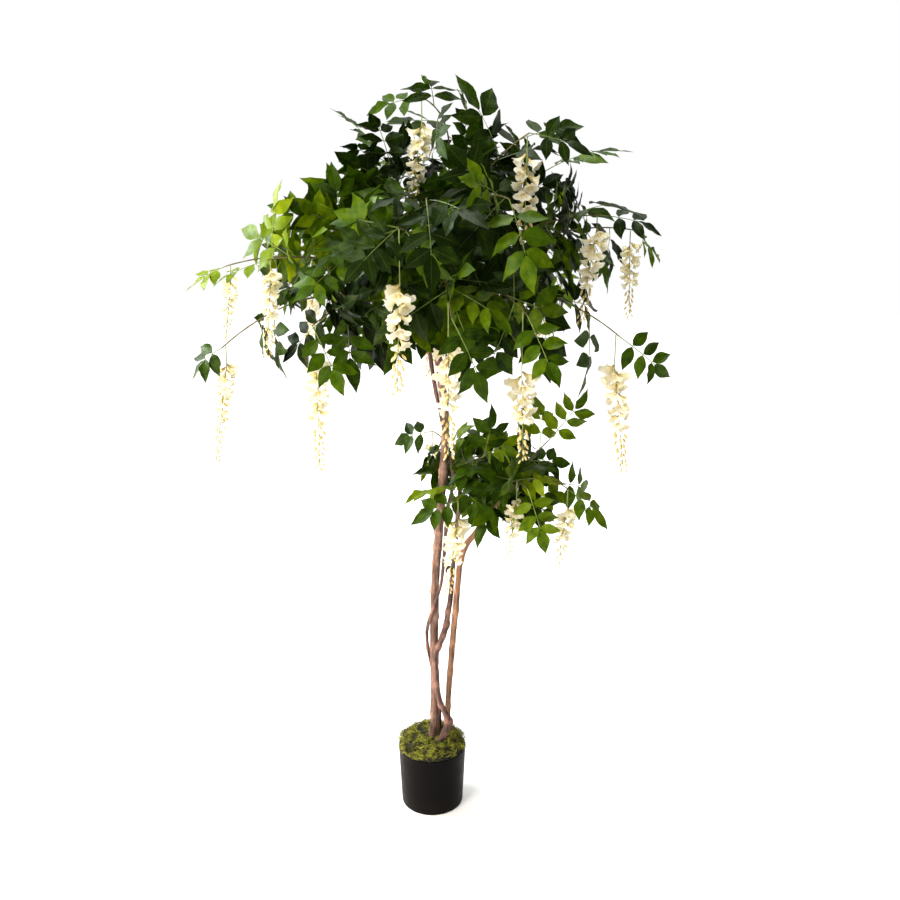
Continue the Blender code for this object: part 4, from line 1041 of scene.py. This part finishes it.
def leaflet_template(number):
    """One kind of leaflet: folded along its rib, arched, curled, twisted and wavy at its edges."""
    dice = random.Random(LEAFLET_SEED + number)
    made = net(f"leaflet_{number}", LEAFLET_ACROSS, LEAFLET_ALONG)
    fold, arch, narrow = dice.uniform(0.10, 0.45), dice.uniform(0.0, 0.25), dice.uniform(0.84, 1.0)
    curl, twist = dice.uniform(-0.06, 0.26), dice.uniform(-0.75, 0.75)
    waves = [(dice.uniform(0.0016, 0.0046), dice.uniform(1.2, 2.4), dice.uniform(0, 6.3)) for _ in range(2)]
    for vertex in made.data.vertices:
        u, v = 2 * vertex.co.x - 1, vertex.co.y
        blade = max(0, (v - LEAFLET_STALK) / (1 - LEAFLET_STALK))
        outline = math.sin(math.pi * blade**0.8) ** (0.95 if blade < 0.42 else 1.2) if 0 < blade < 1 else 0
        height, rate, phase = waves[u > 0]
        ragged = 1 + 0.045 * abs(u) ** 3 * math.sin(2 * math.pi * 4.2 * v + phase)
        x = u * max(0.028 if blade < 0.5 else 0, outline) * LEAFLET_HALF_WIDTH * narrow * ragged
        z = fold * abs(x) - arch * x * x / LEAFLET_HALF_WIDTH
        z += height * u * u * outline * math.sin(2 * math.pi * rate * v + phase)
        z -= curl * LEAFLET_LENGTH * v * v
        turn = twist * (v - 0.3)
        sine, cosine = math.sin(turn), math.cos(turn)
        vertex.co = (x * cosine - z * sine, v * LEAFLET_LENGTH, x * sine + z * cosine)
    mend(made, 0.00008)
    if sum(p.normal.z for p in made.data.polygons) < 0:
        made.data.flip_normals()
    solidify(made, LEAFLET_THICKNESS, 1)
    made.data.materials.append(leaf_face)
    made.data.materials.append(leaf_back)
    smooth(made, 60)
    return made


def rigid(matrix):
    """The turn and the shift of a matrix, for rows of points."""
    return np.array(matrix.to_3x3()).T, np.array(matrix.translation)


def sag(points, length, droop):
    """Lets the points of a leaf hang along its length and its width."""
    fall = droop / length * (points[:, 1] ** 2 + 0.9 * points[:, 0] ** 2)
    return points - np.outer(fall, (0, 0, 1))


def on_leaf(leaf, place, degrees, size, lean=(0.0, 0.0)):
    """A move that sets a leaflet at a place on a leaf's rib, at degrees to it. lean is its pitch and roll."""
    matrix, _, length, droop = leaf
    turn = np.array(Matrix.Rotation(lean[0], 3, "X") @ Matrix.Rotation(lean[1], 3, "Y")).T
    sine, cosine = math.sin(math.radians(degrees)), math.cos(math.radians(degrees))
    heading = np.array([[cosine, -sine, 0], [sine, cosine, 0], [0, 0, 1]])
    rotation, shift = rigid(matrix)

    def move(points):
        laid = points @ turn @ heading * size + (0, place * length, 0)
        return sag(laid, length, droop) @ rotation + shift

    return move


def rib_of(leaf):
    """A move that lays a unit rod as a leaf's rib, thinner towards its end and just under the leaflets."""
    matrix, (_, share), length, droop = leaf
    rotation, shift = rigid(matrix)
    end = 1 - share * END_LEAFLET + RIB_LAP

    def move(points):
        thick = RIB_RADIUS * (1 - 0.4 * points[:, 1])
        laid = np.c_[points[:, 0] * thick, points[:, 1] * end * length, points[:, 2] * thick - RIB_DROP]
        return sag(laid, length, droop) @ rotation + shift

    return move


def leaflet_places(leaf):
    """Where a leaf's leaflets sit: place on the rib, degrees to it, and size against the template."""
    _, (pairs, share), length, _ = leaf
    size = max(share * length, SMALLEST_LEAFLET) / LEAFLET_LENGTH
    places = [(place, side * (angle + SPREAD), size) for place, angle in pairs for side in (-1, 1)]
    return places + [(1 - share * END_LEAFLET, 0, size * END_LEAFLET)]


leaflets = [leaflet_template(number) for number in range(LEAFLET_KINDS)]
rib_template = rod("rib", 4, 7)
rib_template.data.materials.append(rib_coat)
twig_template = rod("twig", 8, TWIG_RINGS)
twig_template.data.materials.append(twig_coat)

GAP = 0.0003
TWIG_POINTS = 7
# The spray that carries it, its place on the twig, the height of its first flowers, its length, its
# radius and how far its end leans in x and y
RACEMES = {
    "top_arch": (0.98, 1.695, 0.200, 0.030, (-0.030, 0.000)),
    "top_right": (0.98, 1.625, 0.215, 0.034, (-0.004, -0.010)),
    "right_middle": (0.98, 1.470, 0.195, 0.030, (-0.030, -0.010)),
    "right_back": (0.98, 1.435, 0.170, 0.027, (0.006, 0.000)),
    "right_low": (0.98, 1.175, 0.240, 0.032, (0.030, -0.005)),
    "front_right": (0.96, 1.180, 0.185, 0.032, (0.006, -0.005)),
    "front_middle": (0.85, 1.240, 0.230, 0.032, (0.000, -0.010)),
    "front_left": (0.97, 1.365, 0.210, 0.032, (-0.008, -0.010)),
    "left_underside": (0.98, 1.205, 0.245, 0.030, (0.000, 0.000)),
    "left_middle": (0.98, 1.385, 0.185, 0.028, (-0.016, 0.000)),
    "far_left": (0.98, 1.365, 0.145, 0.020, (-0.020, 0.000)),
    "left_low": (0.98, 1.170, 0.225, 0.024, (-0.038, 0.000)),
    "back_left": (0.96, 1.300, 0.155, 0.022, (-0.020, 0.010)),
    "back_middle": (0.97, 1.300, 0.220, 0.030, (0.000, 0.015)),
    "back_right": (0.97, 1.320, 0.210, 0.030, (0.010, 0.010)),
    "lower_left": (0.96, 0.940, 0.100, 0.018, (0.000, 0.000)),
    "lower_right": (0.97, 0.840, 0.150, 0.024, (-0.018, 0.000)),
    "lower_hanging": (0.75, 0.850, 0.145, 0.022, (-0.020, -0.005)),
    "lower_front": (0.95, 0.810, 0.185, 0.028, (-0.025, 0.000)),
    "lower_back": (0.96, 0.880, 0.160, 0.024, (0.010, 0.010)),
}


def raceme_line(name):
    """A raceme's hook on its twig, the place of its first flowers and that of its last bud."""
    t, top, length, _, lean = RACEMES[name]
    spray = SPRAYS[name]
    start = spray.start()
    times = [start + (1 - start) * i / (TWIG_POINTS - 1) for i in range(TWIG_POINTS)]
    low, high = next((a, b) for a, b in zip(times, times[1:]) if a <= t <= b)
    along = spray.point(high) - spray.point(low)
    level = along.xy.length / along.length
    centre = spray.point(low).lerp(spray.point(high), (t - low) / (high - low))
    hook = centre - UP * (spray.radius(low) / level + GAP)
    first = Vector((hook.x, hook.y, top))
    return hook, first, first + Vector((*lean, -length))


# The heart of the crown is thicker with leaves than its outside, so more leaves grow from the same twigs
# there. A try is kept if plain lozenges in place of its leaflets cross nothing in the frame, no lozenge
# of another kept try and no view to a raceme.
FILLER_SEED = 5
FILLER_TRIES = 500
FILLERS = 10
SHOULDER_TRIES = 6
SHOULDER_FILLERS = 2
# Middle and half sizes of the places that are filled: the crown, the lower tuft and the crown's left
# shoulder
HEARTS = {
    "crown": (Vector((0.01, 0.00, 1.44)), Vector((0.40, 0.32, 0.25)), (0.115, 0.175)),
    "lower": (Vector((0.14, 0.00, 0.90)), Vector((0.16, 0.14, 0.13)), (0.090, 0.140)),
    "shoulder": (Vector((-0.16, 0.03, 1.56)), Vector((0.22, 0.22, 0.17)), (0.125, 0.180)),
}
SHOULDER = ("upper_left", "top_left", "left_upper")
KEEP_AWAY = 0.0009
VIEWER = (0.05, 2.15, 1.50)
SIGHT_LENGTH = 0.50
SIGHT_SHARE = 0.72
LOZENGE = np.array([
    (x, y, side) for side in (1, -1) for x, y in ((0, 0.06), (-0.48, 0.42), (0, 1), (0.48, 0.42))
])
LOZENGE_FACES = [(0, 3, 2, 1), (4, 5, 6, 7), (0, 1, 5, 4), (1, 2, 6, 5), (2, 3, 7, 6), (3, 0, 4, 7)]


def stand_in(leaf):
    """The points and faces of the thin lozenges that stand in for a leaf's leaflets."""
    points, faces = [], []
    for place, degrees, size in leaflet_places(leaf):
        lozenge = LOZENGE * (LEAFLET_HALF_WIDTH * 2, LEAFLET_LENGTH, KEEP_AWAY / size)
        faces += [tuple(i + len(points) for i in face) for face in LOZENGE_FACES]
        points += [Vector(p) for p in on_leaf(leaf, place, degrees, size)(lozenge)]
    return points, faces


def frame_tree():
    """One surface tree of everything in the frame."""
    points, faces = [], []
    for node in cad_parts.values():
        faces += [tuple(i + len(points) for i in face.vertices) for face in node.data.polygons]
        points += [vertex.co.copy() for vertex in node.data.vertices]
    return BVHTree.FromPolygons(points, faces)


def sight_tree():
    """Upright sheets from each raceme towards someone before or behind the tree, which no filler crosses."""
    points, faces = [], []
    for name in RACEMES:
        _, first, last = raceme_line(name)
        for side in (-SIGHT_SHARE, 0, SIGHT_SHARE):
            faces.append(tuple(len(points) + corner for corner in (0, 1, 3, 2)))
            for near in (first, first.lerp(last, SIGHT_SHARE)):
                near = near + Vector((side * RACEMES[name][3], 0, 0))
                viewer = Vector(VIEWER)
                viewer.y *= 1 if near.y > 0.1 else -1
                points += [near, near + (viewer - near).normalized() * SIGHT_LENGTH]
    return BVHTree.FromPolygons(points, faces)


def try_filler(spray, dice):
    """One way to grow another leaf on a twig, or None if it would be outside the heart of its part."""
    place = "lower" if spray.lower else "shoulder" if spray.name in SHOULDER else "crown"
    middle, reach, lengths = HEARTS[place]
    t = dice.uniform(0.40 if place == "shoulder" else 0.12, 0.98)
    base = spray.point(t)
    outward = ((base - middle) * FRONT_AND_BACK).normalized()
    jitter = Vector([dice.uniform(-0.7, 0.7) for _ in range(3)])
    forward = spray.heading(t)
    sideways = forward.cross(UP).normalized()
    lift = sideways.cross(forward)
    around, spread = dice.uniform(0, 2 * math.pi), math.radians(dice.uniform(35, 100))
    direction = forward * math.cos(spread)
    direction += (sideways * math.cos(around) + lift * math.sin(around)) * math.sin(spread)
    direction -= UP * dice.uniform(0.0, 0.6)
    length = dice.uniform(*lengths)
    matrix = leaf_matrix(base, direction, outward + UP * 0.3 + jitter)
    off = matrix @ Vector((0, 0.6 * length, 0)) - middle
    if sum((o / r) ** 2 for o, r in zip(off, reach)) > 1:
        return None
    return matrix, dice.choice((FIVE_LEAFLETS, SEVEN_LEAFLETS)), length, dice.uniform(0.10, 0.30)


def filler_leaves():
    """More leaves for each twig, with those of the left shoulder grown first."""
    dice = random.Random(FILLER_SEED)
    kept_out = [frame_tree(), sight_tree()]
    grown = {name: [] for name in SPRAYS}
    for name, spray in sorted(SPRAYS.items(), key=lambda item: item[0] not in SHOULDER):
        more_tries, more_fillers = (SHOULDER_TRIES, SHOULDER_FILLERS) if name in SHOULDER else (1, 1)
        for _ in range(FILLER_TRIES * more_tries):
            leaf = try_filler(spray, dice)
            if leaf is None:
                continue
            points, faces = stand_in(leaf)
            blades = BVHTree.FromPolygons(points, faces)
            too_high = max(p.z for p in points) > TREE_HEIGHT - 0.01
            if too_high or any(blades.overlap(other) for other in kept_out):
                continue
            kept_out.append(blades)
            grown[name].append(leaf)
            if len(grown[name]) == FILLERS * more_fillers:
                break
    return grown


def painted_sunlight(spray, place):
    """Painted light on a leaf for its place, added to its shade for a lighter, yellower green: most on the
    high left towards the window, more towards the outside of the crown and of the lower tuft, and more low
    down in the crown, except at the left, where it is taken off for a darker green.
    """
    if spray.lower:
        return 0.14 + 0.16 * min(1, (place - LOWER_CENTRE).length / 0.20)
    outness = min(1, (place - CROWN_MIDDLE).length / 0.50)
    leftness = min(1, max(0, -0.02 - place.x) / 0.34) * min(1, max(0, place.z - 1.33) / 0.10)
    lowness = min(1, max(0, 1.34 - place.z) / 0.12)
    return 0.10 * outness**2 + 0.42 * leftness + (0.20 if place.x > -0.06 else -0.12) * lowness


def spray_piece(name, spray, leaves, dice):
    """Joins a twig, the ribs of its leaves and their leaflets into one piece."""
    twig_path = [spray.point(t) for t in np.linspace(spray.start(), 1, TWIG_RINGS + 1)]
    radii = [spray.radius(t) * (1 + 0.14 * math.sin(t * 60)) for t in np.linspace(0, 1, TWIG_RINGS + 1)]
    twig = copy_of(twig_template, along_route(twig_path, radii), 0.5)
    parts = []
    for leaf in leaves:
        middle = leaf[0] @ Vector((0, 0.5 * leaf[2], 0))
        # A leaf's shade: tone that differs at random, plus painted light for its place.
        tone_and_painted_light = 0.05 + 0.50 * dice.random() ** 1.4 + painted_sunlight(spray, middle)
        parts.append(copy_of(rib_template, rib_of(leaf), min(1, tone_and_painted_light + 0.1)))
        for place, degrees, size in leaflet_places(leaf):
            lean = (math.radians(dice.uniform(-15, 5)), math.radians(dice.uniform(-24, 24)))
            turned = degrees + dice.uniform(-5, 5)
            shade = min(0.98, max(0.02, tone_and_painted_light + dice.uniform(-0.07, 0.07)))
            kind = dice.choice(leaflets)
            grown = size * dice.uniform(0.92, 1.04)
            parts.append(copy_of(kind, on_leaf(leaf, place, turned, grown, lean), shade))
    stand_for(gather(name + "_spray", twig, parts), "leaf", "spray_" + name)


fillers = filler_leaves()
dice = random.Random(FILLER_SEED + 1)
for number, (name, spray) in enumerate(SPRAYS.items()):
    spray_piece(name, spray, frame_leaves(spray, random.Random(SEED + number)) + fillers[name], dice)
for template in [*leaflets, rib_template, twig_template]:
    bpy.data.objects.remove(template)


# Racemes
# A raceme hangs from a twig on a pale green stalk. It has silk flowers at the top, each pressed into a
# yellow neck and a cream bell with ruffled lobes, and slim yellow buds below them, on fine dark green
# stalks.
FLOWER_KINDS = 4
FLOWER_SEED = 23
FLOWER_SIDES = 24
FLOWER_ALONG = [0, 0.16, 0.34, 0.52, 0.70, 0.86, 1]
FLOWER_LENGTH = 0.029
FLOWER_GAP = 0.0090
FLOWER_SHARE = 0.58
BUD_GAP = 0.0046
RACEME_SEED = 77
# The radius of the raceme that the flowers are drawn for
FULL_RADIUS = 0.032
STALK_RINGS = 24
STALK_RADIUS = 0.0013
STALK_END_RADIUS = 0.0006
PETAL_THICKNESS = 0.0004
NECK_REACH = 0.0035
# The cup under a flower and a bud below the flowers: length and greatest radius
CUP = (0.021, 0.0040)
BUD = (0.0155, 0.0033)
BUD_OUTLINE = np.array([0.30, 0.85, 1.0, 0.72, 0.12])
PETAL_CREAMS = [(0.0, "c0a04c"), (1.0, "fffdf2"), (0.2, "e6cf80"), (0.42, "f6eab2"), (0.7, "fdf8dc")]
GOLDEN_ANGLE = math.radians(137.5)

# Silk petals: cream, yellower towards the neck, thin enough to let light through.
petal_silk, tree, shader = begin_material("dyed_silk_petal")
place = add_node(tree, "ShaderNodeTexCoord")
cream = patchy_ramp(tree, place, (130.0, 3.0), (0.3, 0.7, -0.10, 0.10), PETAL_CREAMS)
weave = add_node(
    tree, "ShaderNodeTexNoise", {"Vector": place.outputs["Object"], "Scale": 1500.0, "Detail": 1.0}
)
bump = add_node(tree, "ShaderNodeBump", {"Strength": 0.25, "Distance": 0.0003, "Height": weave.outputs[0]})
set_inputs(tree, shader, {"Base Color": cream, "Normal": bump.outputs[0], "Roughness": 0.68})
let_light_through(tree, shader, 0.48, cream)

stalk_coat, tree, shader = begin_material("pale_green_stalk")
shade = add_node(tree, "ShaderNodeAttribute", attribute_name="shade")
green = add_node(
    tree, "ShaderNodeValToRGB", {0: shade.outputs["Fac"]}, stops=[(0.0, "2f4418"), (1.0, "a4b56a")]
)
set_inputs(tree, shader, {"Base Color": green.outputs["Color"], "Roughness": 0.55})


def flower_template(number):
    """A bell of silk along +Y: a narrow neck, pointed side lobes, a banner above and a lip below."""
    dice = random.Random(FLOWER_SEED + number)
    made = net(f"flower_{number}", even(FLOWER_SIDES), FLOWER_ALONG)
    phase, ruffle = dice.uniform(0, 6.3), dice.uniform(0.0004, 0.0012)
    spread, reflex = dice.uniform(0.88, 1.10), dice.uniform(0.005, 0.011)
    for vertex in made.data.vertices:
        angle, v = 2 * math.pi * vertex.co.x, vertex.co.y
        side, top = abs(math.cos(angle)), math.sin(angle)
        lobe = abs(math.cos(2 * angle))
        point = side**4
        open_share = max(0, v - 0.18) / 0.82 * (0.76 + 0.24 * lobe**0.8)
        reach = 0.0125 + 0.0085 * point + 0.0025 * max(0, top) - 0.0035 * max(0, -top)
        radius = 0.0018 + 0.0010 * v + spread * reach * open_share**1.5
        radius += ruffle * math.sin(8 * angle + phase) * open_share**3
        along = FLOWER_LENGTH * v**0.92 * (0.88 + 0.12 * lobe)
        along -= reflex * (0.55 * point + max(0, top)) * open_share**2.5
        along += 1.4 * ruffle * math.sin(6 * angle + 2 * phase) * open_share**3
        vertex.co = (radius * math.cos(angle), along, 0.9 * radius * math.sin(angle))
    mend(made, 0.00005)
    solidify(made, PETAL_THICKNESS, 0)
    made.data.materials.append(petal_silk)
    smooth(made, 70)
    return made


def hang(base, outward, down, size, roll):
    """A move that hangs a flower or a bud at a place. down is its angle to straight down, in degrees."""
    tilt = math.radians(down)
    along = outward * math.sin(tilt) - UP * math.cos(tilt)
    face = outward * math.cos(tilt) + UP * math.sin(tilt)
    across = along.cross(face)
    turn = np.array([tuple(across), tuple(along), tuple(face)])
    spin = np.array(Matrix.Rotation(roll, 3, "Y")).T

    def move(points):
        return points @ spin * size @ turn + np.array(base)

    return move


flowers = [flower_template(number) for number in range(FLOWER_KINDS)]
bud_template = rod("bud", 5, 4)
bud_template.data.materials.append(petal_silk)
thread_template = rod("thread", 3, 3)
thread_template.data.materials.append(stalk_coat)
stalk_template = rod("stalk", 5, STALK_RINGS)
stalk_template.data.materials.append(stalk_coat)


def bud_move(base, outward, down, length, width):
    """A move that shapes a unit rod into a bud and hangs it at a place."""
    hung = hang(base, outward, down, 1, 0)

    def move(points):
        swell = np.interp(points[:, 1], even(len(BUD_OUTLINE) - 1), BUD_OUTLINE) * width
        return hung(np.c_[points[:, 0] * swell, points[:, 1] * length, points[:, 2] * swell])

    return move


def thread(start, end, radius, shade, lift=0.0):
    """A short stalk between two places. lift raises its start."""
    route = [start.lerp(end, s) + UP * lift * (1 - s) for s in np.linspace(0, 1, 4)]
    return copy_of(thread_template, along_route(route, [radius] * 4), shade)


dice = random.Random(RACEME_SEED)
for name, (_, _, length, radius, _) in RACEMES.items():
    hook, first, last = raceme_line(name)
    size = radius / FULL_RADIUS
    above = (hook - first).length
    upper = max(2, round(STALK_RINGS * above / (above + length)))
    route = [hook.lerp(first, s) for s in np.linspace(0, 1, upper + 1)[:-1]]
    route += [first.lerp(last, s) for s in np.linspace(0, 1, STALK_RINGS + 1 - upper)]
    stalk_radii = np.linspace(STALK_RADIUS, STALK_END_RADIUS, STALK_RINGS + 1)
    stalk = copy_of(stalk_template, along_route(route, stalk_radii), 0.7)
    parts = []
    turn = dice.uniform(0, 6.3)
    down = 0.0
    while down < length * FLOWER_SHARE:
        share = down / (length * FLOWER_SHARE)
        centre = first.lerp(last, down / length)
        turn += GOLDEN_ANGLE + dice.uniform(-0.35, 0.35)
        outward = Vector((math.cos(turn), math.sin(turn), 0))
        grown = size * (1.08 - 0.38 * share) * dice.uniform(0.9, 1.08)
        neck = centre + outward * NECK_REACH
        tone = dice.uniform(-0.08, 0.08)
        parts.append(copy_of(
            dice.choice(flowers), hang(neck, outward, dice.uniform(38, 62), grown, dice.uniform(-0.5, 0.5)),
            lambda p, tone=tone: np.clip(0.12 + tone + 1.1 * p[:, 1] / FLOWER_LENGTH, 0.02, 0.98),
        ))
        parts.append(thread(centre, neck, 0.0009, 0.4, 0.003))
        parts.append(copy_of(
            bud_template, bud_move(neck - UP * 0.002, outward, 50, CUP[0] * grown, CUP[1] * grown),
            lambda p: 0.30 + 0.4 * p[:, 1],
        ))
        down += FLOWER_GAP * size * dice.uniform(0.85, 1.15)
    while down < length:
        share = down / length
        centre = first.lerp(last, share)
        turn += GOLDEN_ANGLE + dice.uniform(-0.35, 0.35)
        outward = Vector((math.cos(turn), math.sin(turn), 0))
        small = size * (1.45 - 0.75 * share)
        reach = 0.009 * small
        base = centre + outward * reach - UP * reach * 0.8
        parts.append(thread(centre, base, 0.0005, 0.15))
        down_angle, long = dice.uniform(12, 42), dice.uniform(0.85, 1.1)
        parts.append(copy_of(
            bud_template, bud_move(base, outward, down_angle, BUD[0] * small * long, BUD[1] * small),
            lambda p: 0.18 + 0.42 * p[:, 1],
        ))
        down += BUD_GAP * dice.uniform(0.8, 1.2)
    stand_for(gather(name + "_raceme", stalk, parts), "petal", "raceme_" + name)
for template in [*flowers, bud_template, thread_template, stalk_template]:
    bpy.data.objects.remove(template)
